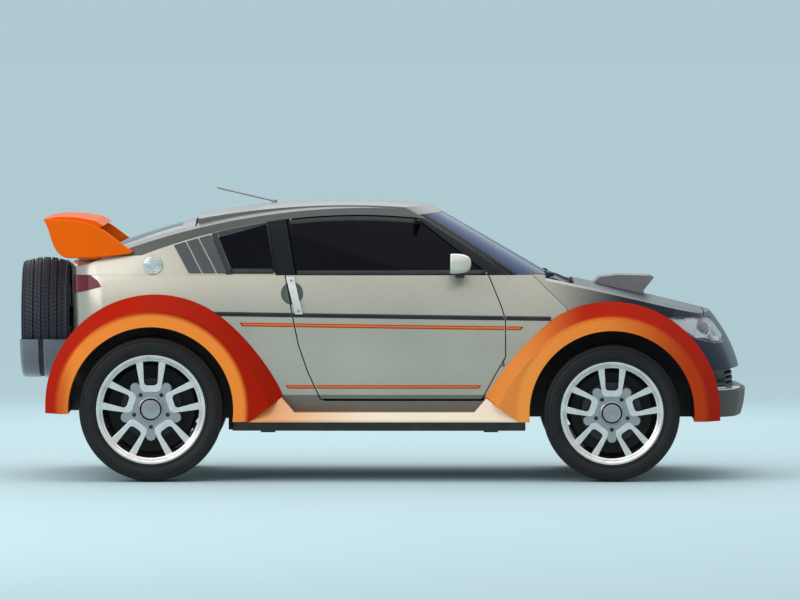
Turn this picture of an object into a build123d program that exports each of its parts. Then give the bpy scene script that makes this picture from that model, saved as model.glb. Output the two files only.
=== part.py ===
from build123d import *
from collections import namedtuple
from math import atan2, cos, degrees, radians, sin, sqrt
from functools import cache
import os

# Two-door crossover coupe: flared arches, tail wing, spare wheel on the tail, bonnet scoop.
# Millimetres. +X is forward, +Y is left, +Z is up, and the ground is Z = 0.
# Right-hand pieces are drawn first, mostly in side view, and mirrored to the left.

# Stance
WHEELBASE = 2550.0
FRONT_AXLE_X = 1266.0
REAR_AXLE_X = FRONT_AXLE_X - WHEELBASE
SHUT_GAP = 6.0
SEAT_GAP = 0.3
PIN_CLEARANCE = 0.06

# One kind of wheel per row
WheelSize = namedtuple("WheelSize", "axle_x track tyre_radius tyre_width lip_radius shoulder")
FRONT_WHEEL = WheelSize(FRONT_AXLE_X, 1536.0, 380.0, 285.0, 285.0, (8.0, 24.0))
REAR_WHEEL = WheelSize(REAR_AXLE_X, 1516.0, 401.0, 305.0, 302.0, (8.0, 24.0))
SPARE_WHEEL = WheelSize(-1892.0, 0.0, 334.0, 272.0, 245.0, (22.0, 30.0))
SPARE_Z = 889.0
SPARE_BULGE = 2.1
SPOKES = 5
SPINDLE_RADIUS = 32.0
KINGPIN_INSET = 50.0
KINGPIN_RADIUS = 12.0

# Body envelope: plan outlines at rising heights, nose and tail arcs joined by bowed sides
Section = namedtuple(
    "Section",
    "height nose_x nose_sweep nose_half side_half tail_half tail_x tail_sweep nose_round tail_round",
)
BELT_Z = 1140.0
LOWER_SECTIONS = (
    Section(270.0, 1950.0, 90.0, 700.0, 772.0, 690.0, -1690.0, 50.0, 230.0, 150.0),
    Section(500.0, 2012.0, 95.0, 755.0, 815.0, 735.0, -1735.0, 55.0, 240.0, 160.0),
    Section(800.0, 1924.0, 100.0, 755.0, 838.0, 745.0, -1742.0, 60.0, 240.0, 170.0),
    Section(960.0, 1808.0, 110.0, 730.0, 826.0, 735.0, -1746.0, 60.0, 230.0, 170.0),
    Section(BELT_Z, 1620.0, 120.0, 690.0, 780.0, 695.0, -1750.0, 60.0, 210.0, 160.0),
)
CABIN_SECTIONS = (
    Section(1040.0, 1094.0, 250.0, 640.0, 770.0, 680.0, -1752.0, 60.0, 130.0, 150.0),
    Section(1320.0, 617.0, 200.0, 555.0, 690.0, 605.0, -1752.0, 60.0, 120.0, 140.0),
    Section(1600.0, 120.0, 150.0, 440.0, 565.0, 500.0, -1745.0, 60.0, 100.0, 120.0),
)
DOOR_WALL = 90.0
CABIN_WALL = 46.0
GLASS = 6.0

# Roof and bonnet: arcs in side view, crowned across the car
ROOF_TOP = (-200.0, 1543.0)
ROOF_RADIUS = 3700.0
ROOF_CROWN = 4400.0
ROOF_SKIN = 40.0
PANEL_TOP = (-200.0, 1548.0)
PANEL_RADIUS = 4600.0
PANEL_HALF = 470.0
PANEL_REAR_X = -1029.0
BONNET_LINE = [(900.0, 1142.0), (1350.0, 1046.0), (1800.0, 937.0)]
BONNET_CROWN = 9000.0
BONNET_SKIN = 28.0
RAIL_EDGE_TOP = (-150.0, 1471.0)
RAIL_EDGE_RADIUS = 3300.0
RAIL_EDGE_REAR_X = -1340.0

# Heights of the underside
FLOOR_BOTTOM = 276.0
SILL_BOTTOM = 340.0
SILL_TOP = 445.0
TAIL_BOTTOM = 385.0
NOSE_BOTTOM = 400.0

# Arch flares: an arc about a point near the axle, run out to the side step by a tangent arc
Flare = namedtuple("Flare", "axle_x axle_z centre radius leave_angle step_point far_foot near_foot")
FLARE_HALF = 930.0
FLARE_ROOT = 805.0
FLARE_SHRINK = 90.0
ARCH_RADIUS = 457.0
LINER = 6.0
FLARES = {
    "front": Flare(FRONT_AXLE_X, 380.0, (1262.0, 388.0), 606.0, 125.0, (564.0, 470.0), 335.0, 332.0),
    "rear": Flare(REAR_AXLE_X, 401.0, (-1262.0, 425.0), 609.0, 57.0, (-553.0, 470.0), 378.0, 334.0),
}

# Shut lines in side view
DOOR_FRONT_X = 679.0
DOOR_BOTTOM = 451.0
DOOR_DRAFT = 5.0
DOOR_OUTLINE = [
    (577.0, BELT_Z + 40.0), (660.0, 962.0), (DOOR_FRONT_X, 896.0), (DOOR_FRONT_X, 690.0), (628.0, 600.0),
    (549.0, DOOR_BOTTOM), (-348.0, DOOR_BOTTOM), (-420.0, 610.0), (-470.0, 760.0), (-498.0, 896.0),
    (-555.0, BELT_Z + 40.0),
]
FENDER_SEAM = [(829.0, BELT_Z), (1017.0, 957.0), (1017.0, 500.0)]
NOSE_SEAM_X = 1610.0
PILLAR_FRONT_LINE = [(150.0, 1480.0), (592.0, BELT_Z)]
DOOR_GLASS_REAR = [(-545.0, 1480.0), (-486.0, BELT_Z)]
QUARTER_GLASS_FRONT = [(-652.0, 1480.0), (-596.0, BELT_Z)]
QUARTER_GLASS = [(-914.0, 1350.0), (-838.0, 1163.0), (-604.0, 1163.0), (-650.0, 1420.0)]

# Hinges
DOOR_HINGE = (660.0, 816.0)
DOOR_HINGE_HEIGHTS = (700.0, 815.0)
DOOR_EDGE_SWEEPS = [(636.0, 676.0, 17.0), (676.0, 850.0, 22.6)]
BONNET_HINGE = (1070.0, 1088.0)
TAILGATE_HINGE = (-1050.0, 1432.0)
TAILGATE_HALF = 560.0
BONNET_HALF_REAR = 606.0
BONNET_HALF_FRONT = 560.0
BONNET_REAR_X = 1062.0
BONNET_FRONT_X = 1786.0


def arc_height(top, radius, x):
    """Height at x of an arc whose highest point is top."""
    return top[1] - radius + sqrt(radius**2 - (x - top[0]) ** 2)


def side_prism(points, inner, outer, draft=0.0, grow=0.0):
    """Prism drawn in side view on the right, from half-width outer in to half-width inner."""
    with BuildPart() as prism:
        with BuildSketch(Plane.XZ.offset(outer)):
            with BuildLine():
                Polyline(*points, close=True)
            make_face()
            if grow:
                offset(amount=grow, kind=Kind.INTERSECTION)
        extrude(amount=inner - outer, taper=draft)
    return prism.part


def block(low, high):
    """Box between two corners."""
    with BuildPart() as box:
        with Locations(tuple((a + b) / 2 for a, b in zip(low, high))):
            Box(*[b - a for a, b in zip(low, high)])
    return box.part


def rod(start, end, radius):
    """Round bar between two points."""
    with BuildPart() as bar:
        with BuildSketch(Plane(start, z_dir=Vector(*end) - Vector(*start))):
            Circle(radius)
        extrude(amount=(Vector(*end) - Vector(*start)).length)
    return bar.part


def trim(stock, keep=(), remove=()):
    """Stock cut back to every form in keep, less every form in remove."""
    with BuildPart() as piece:
        add(stock)
        for form in keep:
            add(form, mode=Mode.INTERSECT)
        for form in remove:
            add(form, mode=Mode.SUBTRACT)
    return piece.part


def join(*shapes):
    """Shapes fused into one piece."""
    with BuildPart() as piece:
        for shape in shapes:
            add(shape)
    return piece.part


def left_of(right):
    """Mirror image of a right-hand piece."""
    with BuildPart() as left:
        mirror(right, about=Plane.XZ)
    return left.part


def both_sides(right):
    """A right-hand piece together with its mirror image."""
    return join(right, left_of(right))


def plan_outline(row, inset):
    """Plan outline at one height, moved in by inset."""
    front_x = row.nose_x - row.nose_sweep - inset
    rear_x = row.tail_x + row.tail_sweep + inset
    middle_x = (front_x + rear_x) / 2
    nose_half = row.nose_half - inset
    side_half = row.side_half - inset
    tail_half = row.tail_half - inset
    with BuildSketch(Plane.XY.offset(row.height)) as outline:
        with BuildLine():
            ThreePointArc((front_x, -nose_half), (row.nose_x - inset, 0), (front_x, nose_half))
            ThreePointArc((front_x, nose_half), (middle_x, side_half), (rear_x, tail_half))
            ThreePointArc((rear_x, tail_half), (row.tail_x + inset, 0), (rear_x, -tail_half))
            ThreePointArc((rear_x, -tail_half), (middle_x, -side_half), (front_x, -nose_half))
        make_face()
        fillet(outline.vertices().group_by(Axis.X)[-1], row.nose_round - inset)
        fillet(outline.vertices().group_by(Axis.X)[0], row.tail_round - inset)
    return outline.sketch


@cache
def envelope(rows, inset=0.0):
    """Closed body form through the plan outlines."""
    with BuildPart() as form:
        loft([plan_outline(row, inset) for row in rows])
    return form.part


@cache
def roof_form(top, radius, drop):
    """Everything below a crowned roof arc, lowered by drop."""
    rear, front, base = -1950.0, 1300.0, 900.0
    apex = (top[0], top[1] - drop)
    rear_top = (rear, arc_height(apex, radius, rear))
    front_top = (front, arc_height(apex, radius, front))
    with BuildPart() as form:
        with BuildSketch(Plane.XZ):
            with BuildLine():
                ThreePointArc(rear_top, apex, front_top)
                Polyline(front_top, (front, base), (rear, base), rear_top)
            make_face()
        revolve(axis=Axis((0, 0, apex[1] - ROOF_CROWN), (1, 0, 0)), revolution_arc=14)
        mirror(about=Plane.XZ)
    return form.part


@cache
def above_bonnet(drop):
    """Everything above the crowned bonnet line, lowered by drop."""
    ahead, high = 2300.0, 1400.0
    start, middle, end = [(x, z - drop) for x, z in BONNET_LINE]
    with BuildPart() as form:
        with BuildSketch(Plane.XZ):
            with BuildLine():
                line = ThreePointArc(start, middle, end)
                slope = line % 1
                tip = (ahead, end[1] + (ahead - end[0]) * slope.Y / slope.X)
                Polyline(end, tip, (ahead, high), (start[0], high), start)
            make_face()
        revolve(axis=Axis((0, 0, middle[1] - BONNET_CROWN), (1, 0, 0)), revolution_arc=7)
        mirror(about=Plane.XZ)
    return form.part


@cache
def under_rail_edge(drop):
    """Right-hand region below the lower edge of the roof rail, lowered by drop."""
    apex = (RAIL_EDGE_TOP[0], RAIL_EDGE_TOP[1] - drop)
    rear, front = RAIL_EDGE_REAR_X, 1000.0
    rear_top = (rear, arc_height(apex, RAIL_EDGE_RADIUS, rear))
    front_top = (front, arc_height(apex, RAIL_EDGE_RADIUS, front))
    tail_top = (-1900.0, rear_top[1] - 22.0)
    with BuildPart() as form:
        with BuildSketch(Plane.XZ.offset(50.0)):
            with BuildLine():
                ThreePointArc(rear_top, apex, front_top)
                Polyline(front_top, (front, 900.0), (-1900.0, 900.0), tail_top, rear_top)
            make_face()
        extrude(amount=900.0)
    return form.part


def axle_cylinder(x, z, radius, inner, outer):
    """Cylinder across the car on the right, about an axle."""
    return rod((x, -inner, z), (x, -outer, z), radius)


def behind_line(line, shift, far_x):
    """Right-hand region behind a two-point side-view line moved forward by shift."""
    (top_x, top_z), (low_x, low_z) = line
    slope = (low_x - top_x) / (low_z - top_z)
    top_x += (1600.0 - top_z) * slope + shift
    low_x += (1000.0 - low_z) * slope + shift
    return side_prism([(top_x, 1600.0), (low_x, 1000.0), (far_x, 1000.0), (far_x, 1600.0)], 50.0, 900.0)


def wedge_plan(points, low, high):
    """Prism drawn in plan view, between two heights."""
    with BuildPart() as prism:
        with BuildSketch(Plane.XY.offset(low)):
            with BuildLine():
                Polyline(*points, close=True)
            make_face()
        extrude(amount=high - low)
    return prism.part


def front_prism(points, rear_x, front_x, grow=0.0):
    """Prism drawn in front view (Y, Z), from rear_x to front_x."""
    with BuildPart() as prism:
        with BuildSketch(Plane.YZ.offset(rear_x)):
            with BuildLine():
                Polyline(*points, close=True)
            make_face()
            if grow:
                offset(amount=grow, kind=Kind.INTERSECTION)
        extrude(amount=front_x - rear_x)
    return prism.part


# Body forms every panel is cut from
WIDE = 1200.0
right_half = block((-2500.0, -WIDE, 0.0), (2500.0, 0.0, 2000.0))
lower_form = trim(envelope(LOWER_SECTIONS), remove=[above_bonnet(0.0)])
lower_hollow = trim(envelope(LOWER_SECTIONS, DOOR_WALL), remove=[above_bonnet(BONNET_SKIN)])
lower_wall = trim(lower_form, remove=[lower_hollow])
lower_skin = envelope(LOWER_SECTIONS, -SEAT_GAP)
cabin_raw = envelope(CABIN_SECTIONS)
cabin_form = trim(cabin_raw, keep=[roof_form(ROOF_TOP, ROOF_RADIUS, 0.0)])
cabin_hollow = trim(envelope(CABIN_SECTIONS, CABIN_WALL), keep=[roof_form(ROOF_TOP, ROOF_RADIUS, ROOF_SKIN)])
above_belt = block((-2500.0, -WIDE, BELT_Z), (2500.0, WIDE, 2000.0))
cabin_shell = trim(cabin_form, remove=[cabin_hollow])
cabin_wall = trim(cabin_shell, keep=[above_belt])
cabin_right = trim(cabin_wall, keep=[right_half])
lower_right = trim(lower_wall, keep=[right_half])

# Openings cut through the walls
door_prism = side_prism(DOOR_OUTLINE, 600.0, 870.0, DOOR_DRAFT)
door_opening = side_prism(DOOR_OUTLINE, 600.0, 870.0, DOOR_DRAFT, SHUT_GAP)
arch_cuts = {
    name: axle_cylinder(flare.axle_x, flare.axle_z, ARCH_RADIUS + LINER + 1.3, 400.0, 1000.0)
    for name, flare in FLARES.items()
}
WINDSCREEN_OUTLINE = [(-648.0, 1000.0), (-463.0, 1478.0), (463.0, 1478.0), (648.0, 1000.0)]
windscreen_opening = front_prism(WINDSCREEN_OUTLINE, 150.0, 1400.0, 0.5)
roof_opening = block((PANEL_REAR_X - 8.0, -PANEL_HALF - 0.5, 1380.0), (500.0, PANEL_HALF + 0.5, 1700.0))
tailgate_opening = block((-2000.0, -TAILGATE_HALF - SHUT_GAP, 1209.0),
                         (PANEL_REAR_X - 8.0, TAILGATE_HALF + SHUT_GAP, 1700.0))
bonnet_outline = [
    (BONNET_REAR_X, -BONNET_HALF_REAR), (BONNET_FRONT_X + 60.0, -BONNET_HALF_FRONT),
    (BONNET_FRONT_X + 60.0, BONNET_HALF_FRONT), (BONNET_REAR_X, BONNET_HALF_REAR),
]
swing = BONNET_FRONT_X - BONNET_HINGE[0]
bonnet_swing_radius = sqrt(swing**2 + 150.0**2)
bonnet_opening = trim(
    wedge_plan([(x, y + (SHUT_GAP if y > 0 else -SHUT_GAP)) for x, y in bonnet_outline], 700.0, 1300.0),
    keep=[rod((BONNET_HINGE[0], -WIDE, BONNET_HINGE[1]), (BONNET_HINGE[0], WIDE, BONNET_HINGE[1]),
              bonnet_swing_radius + SHUT_GAP)],
)
cowl_opening = block((700.0, -612.0, 1000.0), (BONNET_REAR_X + 1.0, 612.0, 1300.0))
HEADLAMP_OUTLINE = [
    (1576.0, 905.0), (1825.0, 905.0), (1866.0, 852.0), (1904.0, 800.0), (1888.0, 764.0),
    (1847.0, 760.0), (1740.0, 786.0), (1650.0, 840.0),
]
headlamp_opening = side_prism(HEADLAMP_OUTLINE, 430.0, 1000.0, 0.0, 0.5)
INTAKE_OUTLINE = [(1815.0, 619.0), (2100.0, 619.0), (2100.0, 509.0), (1862.0, 509.0)]
intake_opening = side_prism(INTAKE_OUTLINE, -690.0, 690.0)
TAIL_LAMP_OUTLINE = [
    (-1800.0, BELT_Z - 1.0), (-1625.0, BELT_Z - 1.0), (-1582.0, 1106.0), (-1565.0, 1078.0),
    (-1648.0, 1056.0), (-1800.0, 1020.0),
]
tail_lamp_opening = side_prism(TAIL_LAMP_OUTLINE, 520.0, 1000.0, 0.0, 0.5)
FUEL_CAP = (-1277.0, 1194.0)
FUEL_CAP_RADIUS = 52.0
FUEL_CAP_SEAT = 670.0
fuel_cap_opening = axle_cylinder(*FUEL_CAP, FUEL_CAP_RADIUS + 0.5, FUEL_CAP_SEAT, 1000.0)
HANDLE_CENTRE = (-503.0, 1040.0)
handle_recess = axle_cylinder(*HANDLE_CENTRE, 61.0, 778.0, 1000.0)

# Roof, rails and pillars
roof_panel = trim(
    cabin_raw,
    keep=[
        roof_form(PANEL_TOP, PANEL_RADIUS, 0.0),
        block((PANEL_REAR_X, -PANEL_HALF, 1380.0), (500.0, PANEL_HALF, 1700.0)),
    ],
    remove=[roof_form(PANEL_TOP, PANEL_RADIUS, 36.0)],
)
rail_front = [(336.0, 1600.0), (250.0, 1380.0)]
roof_rail = trim(
    cabin_right,
    keep=[behind_line(rail_front, 0.0, -1900.0)],
    remove=[under_rail_edge(0.0), roof_opening, tailgate_opening, windscreen_opening],
)
front_pillar = trim(
    cabin_shell,
    keep=[
        block((100.0, -WIDE, 1066.3), (1300.0, 0.0, 1600.0)),
        side_prism([(150.0, 1600.0), (150.0, 1480.0), (592.0, BELT_Z), (592.0, 1000.0), (1300.0, 1000.0),
                    (1300.0, 1600.0)], 50.0, 900.0),
    ],
    remove=[windscreen_opening, roof_opening, lower_wall, roof_rail],
)
middle_pillar_span = side_prism(
    [QUARTER_GLASS_FRONT[0], QUARTER_GLASS_FRONT[1], DOOR_GLASS_REAR[1], DOOR_GLASS_REAR[0]], 50.0, 900.0
)
middle_pillar = trim(cabin_right, keep=[middle_pillar_span, under_rail_edge(SEAT_GAP)])
quarter_window = side_prism(QUARTER_GLASS, 300.0, 900.0)
quarter_window_opening = side_prism(QUARTER_GLASS, 300.0, 900.0, 0.0, 0.5)

# Sides: rear quarter with its roof post, post ahead of the door, sill, fender
QUARTER_SPAN = [
    (-1900.0, TAIL_BOTTOM), (REAR_AXLE_X, TAIL_BOTTOM), (REAR_AXLE_X, SILL_TOP + SEAT_GAP),
    (-330.0, SILL_TOP + SEAT_GAP), (-525.0, BELT_Z + 1.0), (-1900.0, BELT_Z + 1.0),
]
TAIL_SPLIT = 500.0
quarter_low = trim(
    lower_right,
    keep=[side_prism(QUARTER_SPAN, TAIL_SPLIT, 1000.0)],
    remove=[door_opening, arch_cuts["rear"], tail_lamp_opening],
)
quarter_high = trim(
    cabin_right,
    keep=[
        under_rail_edge(SEAT_GAP),
        behind_line(QUARTER_GLASS_FRONT, -0.3, -1900.0),
        block((-1900.0, -1000.0, BELT_Z), (0.0, -TAIL_SPLIT, 1600.0)),
    ],
    remove=[quarter_window_opening, tailgate_opening],
)
quarter_left_hand = trim(join(quarter_low, quarter_high), remove=[handle_recess])
rear_quarter = trim(quarter_left_hand, remove=[fuel_cap_opening])
rear_quarter_left = left_of(quarter_left_hand)

FRONT_POST_SPAN = [
    (560.0, SILL_TOP + SEAT_GAP), (900.0, SILL_TOP + SEAT_GAP), (1017.0, 500.0), FENDER_SEAM[1],
    FENDER_SEAM[0], (560.0, BELT_Z),
]
hinge_x, hinge_half = DOOR_HINGE
door_edge_sweeps = [
    rod((hinge_x, -hinge_half, low), (hinge_x, -hinge_half, high), radius)
    for low, high, radius in DOOR_EDGE_SWEEPS
]
front_post = trim(
    lower_right,
    keep=[side_prism(FRONT_POST_SPAN, 300.0, 1000.0)],
    remove=[door_opening, arch_cuts["front"], cowl_opening] + door_edge_sweeps,
)
FENDER_SPAN = [
    (FENDER_SEAM[0][0] + 3.0, BELT_Z + 1.0), (FENDER_SEAM[1][0] + 3.0, FENDER_SEAM[1][1]),
    (FENDER_SEAM[1][0] + 3.0, 500.0), (NOSE_SEAM_X, 500.0), (NOSE_SEAM_X, BELT_Z + 1.0),
]
fender = trim(
    lower_right,
    keep=[side_prism(FENDER_SPAN, 300.0, 1000.0)],
    remove=[arch_cuts["front"], cowl_opening, bonnet_opening, headlamp_opening],
)
sill = trim(
    lower_right,
    keep=[block((-1000.0, -1000.0, SILL_BOTTOM), (1000.0, -300.0, SILL_TOP))],
    remove=[arch_cuts["front"], arch_cuts["rear"]],
)

# Nose and tail
nose_panel = trim(
    lower_wall,
    keep=[block((NOSE_SEAM_X + SEAT_GAP, -1000.0, NOSE_BOTTOM), (2200.0, 1000.0, 1200.0))],
    remove=[
        bonnet_opening, headlamp_opening, left_of(headlamp_opening), intake_opening, arch_cuts["front"],
        left_of(arch_cuts["front"]),
    ],
)
grille = trim(
    envelope(LOWER_SECTIONS, 45.0),
    keep=[intake_opening],
    remove=[envelope(LOWER_SECTIONS, 70.0)]
    + [block((1700.0, -560.0, z), (2100.0, 560.0, z + 16.0)) for z in (528.0, 556.0, 584.0)],
)
headlamp = trim(
    envelope(LOWER_SECTIONS, 1.0),
    keep=[side_prism(HEADLAMP_OUTLINE, 430.5, 1000.0)],
    remove=[
        envelope(LOWER_SECTIONS, 60.0),
        trim(bonnet_opening, keep=[above_bonnet(BONNET_SKIN + SHUT_GAP)]),
    ],
)
tail_lamp = trim(
    envelope(LOWER_SECTIONS, -6.0),
    keep=[side_prism(TAIL_LAMP_OUTLINE, 520.5, 1000.0)],
    remove=[envelope(LOWER_SECTIONS, 50.0)],
)
tail_low = trim(
    lower_wall,
    keep=[block((-1900.0, -TAIL_SPLIT + SEAT_GAP, TAIL_BOTTOM), (-1500.0, TAIL_SPLIT - SEAT_GAP, BELT_Z))],
)
tail_high = trim(
    cabin_wall,
    keep=[block((-1900.0, -TAIL_SPLIT + SEAT_GAP, BELT_Z), (-1640.0, TAIL_SPLIT - SEAT_GAP, 1209.0))],
)
tail_panel = join(tail_low, tail_high)
fuel_cap = axle_cylinder(*FUEL_CAP, FUEL_CAP_RADIUS, FUEL_CAP_SEAT + SEAT_GAP, 716.0)

# Glass
windscreen = trim(
    cabin_raw,
    keep=[
        front_prism(WINDSCREEN_OUTLINE, 200.0, 1400.0),
        block((200.0, -700.0, 1066.3), (1400.0, 700.0, 1478.0)),
    ],
    remove=[envelope(CABIN_SECTIONS, GLASS), roof_panel],
)
side_glass_layer = trim(envelope(CABIN_SECTIONS, 4.0), remove=[envelope(CABIN_SECTIONS, 4.0 + GLASS)])
quarter_glass = trim(side_glass_layer, keep=[quarter_window])
DOOR_GLASS_SPAN = [
    (-545.0 + SHUT_GAP, 1480.0), (-486.0 + SHUT_GAP, BELT_Z), (-470.0, 1086.0), (560.0, 1086.0),
    (560.0, BELT_Z - 1.0), (592.0 - 12.0, BELT_Z + 1.0), (150.0 - 10.0, 1480.0),
]
door_glass = trim(
    side_glass_layer,
    keep=[side_prism(DOOR_GLASS_SPAN, 300.0, 900.0), under_rail_edge(SHUT_GAP)],
)
glass_slot = trim(
    envelope(CABIN_SECTIONS, 4.0 - SEAT_GAP),
    keep=[block((-481.0, -900.0, 1086.0 - SEAT_GAP), (582.0, -300.0, 1300.0))],
    remove=[envelope(CABIN_SECTIONS, 4.0 + GLASS + SEAT_GAP)],
)

# Doors, each hung on two lift-off knuckles
HINGE_PIN = 5.0
KNUCKLE_RADIUS = 9.0
KNUCKLE_HALF_HEIGHT = 14.0


def hinge_rod(middle, half_height, radius):
    """Upright round bar on the door hinge axis."""
    return rod(
        (hinge_x, -hinge_half, middle - half_height), (hinge_x, -hinge_half, middle + half_height), radius
    )


hinge_notches = [
    block((hinge_x - 13.0, -hinge_half - 10.0, z - 18.0), (hinge_x + 45.0, -hinge_half + 66.0, z + 18.0))
    for z in DOOR_HINGE_HEIGHTS
]
door_shell = trim(lower_right, keep=[door_prism], remove=[glass_slot, handle_recess] + hinge_notches)
door_shell = join(door_shell, *[hinge_rod(z, 22.0, HINGE_PIN) for z in DOOR_HINGE_HEIGHTS])
ARM_PLAN = [(-5.0, 2.0), (5.0, -2.0), (37.0, 52.0), (29.0, 62.0)]
for z in DOOR_HINGE_HEIGHTS:
    arm = wedge_plan(
        [(hinge_x + x, -hinge_half + y) for x, y in ARM_PLAN], z - KNUCKLE_HALF_HEIGHT, z + KNUCKLE_HALF_HEIGHT
    )
    barrel = join(arm, hinge_rod(z, KNUCKLE_HALF_HEIGHT, KNUCKLE_RADIUS))
    bore = hinge_rod(z, KNUCKLE_HALF_HEIGHT, HINGE_PIN + PIN_CLEARANCE)
    front_post = join(front_post, trim(barrel, remove=[bore]))
HANDLE_BAR = [(-536.0, 1132.0), (-494.0, 1132.0), (-444.0, 926.0), (-486.0, 926.0)]
HANDLE_FEET = [
    [(-530.0, 1128.0), (-496.0, 1128.0), (-490.0, 1104.0), (-524.0, 1104.0)],
    [(-486.0, 958.0), (-454.0, 958.0), (-448.0, 932.0), (-480.0, 932.0)],
]
handle_layer = trim(envelope(LOWER_SECTIONS, -24.0), remove=[envelope(LOWER_SECTIONS, -10.0)])
foot_layer = trim(envelope(LOWER_SECTIONS, -12.0), remove=[lower_skin])
door_handle = join(
    trim(handle_layer, keep=[side_prism(HANDLE_BAR, 300.0, 1000.0)]),
    *[trim(foot_layer, keep=[side_prism(foot, 300.0, 1000.0)]) for foot in HANDLE_FEET],
)
MIRROR_REAR_X, MIRROR_LENGTH = 372.0, 116.0
MIRROR_MIDDLE = (-895.5, 1208.0)
with BuildPart() as mirror_head:
    with BuildSketch(Plane.YZ.offset(MIRROR_REAR_X)):
        with Locations(MIRROR_MIDDLE):
            RectangleRounded(179.0, 112.0, 36.0)
    extrude(amount=MIRROR_LENGTH, taper=11.0)
    fillet(mirror_head.faces().sort_by(Axis.X)[-1].edges(), 12.0)
    with BuildSketch(Plane.YZ.offset(MIRROR_REAR_X)):
        with Locations(MIRROR_MIDDLE):
            RectangleRounded(165.0, 98.0, 29.0)
    extrude(amount=6.0, mode=Mode.SUBTRACT)
    add(block((402.0, -840.0, BELT_Z + SEAT_GAP), (476.0, -750.0, 1176.0)))
door_mirror = mirror_head.part

# Bonnet with its scoop
bonnet_panel = trim(
    lower_form,
    keep=[
        above_bonnet(BONNET_SKIN),
        wedge_plan(bonnet_outline, 700.0, 1300.0),
        rod((BONNET_HINGE[0], -WIDE, BONNET_HINGE[1]), (BONNET_HINGE[0], WIDE, BONNET_HINGE[1]), bonnet_swing_radius),
    ],
)

def cross_hinge(axis_point, middle, arm, notch):
    """Lug with a bore for a body, and notch and pin for the lid it carries, about an axis across the car."""
    x, z = axis_point
    lug = join(
        side_prism(arm, middle - 12.0, middle + 12.0), axle_cylinder(x, z, 8.0, middle - 12.0, middle + 12.0)
    )
    lug = trim(lug, remove=[axle_cylinder(x, z, HINGE_PIN + PIN_CLEARANCE, middle - 13.0, middle + 13.0)])
    return lug, side_prism(notch, middle - 16.0, middle + 16.0), axle_cylinder(x, z, HINGE_PIN, middle - 22.0, middle + 22.0)


BONNET_ARM = [(1064.0, 1086.0), (1072.0, 1082.0), (1050.0, 1058.0), (1036.0, 1058.0), (1036.0, 1066.0)]
BONNET_NOTCH = [(1040.0, 1040.0), (1084.0, 1040.0), (1084.0, 1099.0), (1040.0, 1099.0)]
bonnet_lug, bonnet_notch, bonnet_pin = cross_hinge(BONNET_HINGE, 200.0, BONNET_ARM, BONNET_NOTCH)
bonnet_panel = trim(bonnet_panel, remove=[bonnet_notch, left_of(bonnet_notch)])
bonnet_panel = join(bonnet_panel, both_sides(bonnet_pin))
SCOOP_OUTLINE = [
    (1183.0, 1000.0), (1183.0, 1084.0), (1214.0, 1114.0), (1311.0, 1127.0), (1504.0, 1122.0),
    (1520.0, 1112.0), (1462.0, 1040.0), (1462.0, 960.0),
]
SCOOP_MOUTH = [(1600.0, 1056.0), (1300.0, 1070.0), (1300.0, 1104.0), (1600.0, 1104.0)]
SCOOP_HALF = 175.0
bonnet_scoop = trim(
    side_prism(SCOOP_OUTLINE, -SCOOP_HALF, SCOOP_HALF),
    keep=[above_bonnet(-SEAT_GAP)],
    remove=[side_prism(SCOOP_MOUTH, -SCOOP_HALF + 25.0, SCOOP_HALF - 25.0)],
)

# Tailgate lid with its window and wing
tailgate_lid = trim(
    cabin_form,
    keep=[block((-1900.0, -TAILGATE_HALF, 1215.0), (-1045.0, TAILGATE_HALF, 1600.0))],
    remove=[roof_form(ROOF_TOP, ROOF_RADIUS, ROOF_SKIN)],
)
TAILGATE_ARM = [(-1055.0, 1428.0), (-1045.0, 1434.0), (-1022.0, 1400.0), (-1028.0, 1388.0), (-1034.0, 1390.0)]
TAILGATE_NOTCH = [(-1066.0, 1370.0), (-1030.0, 1370.0), (-1030.0, 1440.0), (-1066.0, 1440.0)]
tailgate_lug, tailgate_notch, tailgate_pin = cross_hinge(TAILGATE_HINGE, 120.0, TAILGATE_ARM, TAILGATE_NOTCH)
tailgate_lid = trim(tailgate_lid, remove=[tailgate_notch, left_of(tailgate_notch)])
tailgate_lid = join(tailgate_lid, both_sides(tailgate_pin))
roof_header = trim(
    block((-1032.0, -455.0, 1366.0), (-1008.0, 455.0, 1500.0)), keep=[roof_form(PANEL_TOP, PANEL_RADIUS, 20.0)]
)
roof_panel = join(roof_panel, roof_header, both_sides(tailgate_lug))
TAIL_WINDOW = [(-1120.0, -455.0), (-1560.0, -430.0), (-1560.0, 430.0), (-1120.0, 455.0)]
TAIL_WINDOW_OPENING = [(-1119.5, -455.5), (-1560.5, -430.5), (-1560.5, 430.5), (-1119.5, 455.5)]
tailgate_shell = trim(tailgate_lid, remove=[wedge_plan(TAIL_WINDOW_OPENING, 1100.0, 1600.0)])
tailgate_glass = trim(
    cabin_form,
    keep=[wedge_plan(TAIL_WINDOW, 1100.0, 1600.0), roof_form(ROOF_TOP, ROOF_RADIUS, 3.0)],
    remove=[roof_form(ROOF_TOP, ROOF_RADIUS, 3.0 + GLASS)],
)
FIN_TOP = [
    (-1886.0, 1449.0), (-1786.0, 1447.0), (-1676.0, 1436.0), (-1604.0, 1416.0), (-1554.0, 1390.0),
    (-1482.0, 1338.0), (-1388.0, 1272.0),
]
FIN_UNDER = [(-1399.0, 1258.0), (-1565.0, 1239.0), (-1747.0, 1233.0)]
FIN_REAR = [(-1747.0, 1233.0), (-1786.0, 1248.0), (-1814.0, 1277.0), (-1841.0, 1338.0), (-1886.0, 1449.0)]
FIN_INNER, FIN_OUTER = 648.0, 702.0
FIN_ROUND = 7.0
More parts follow.
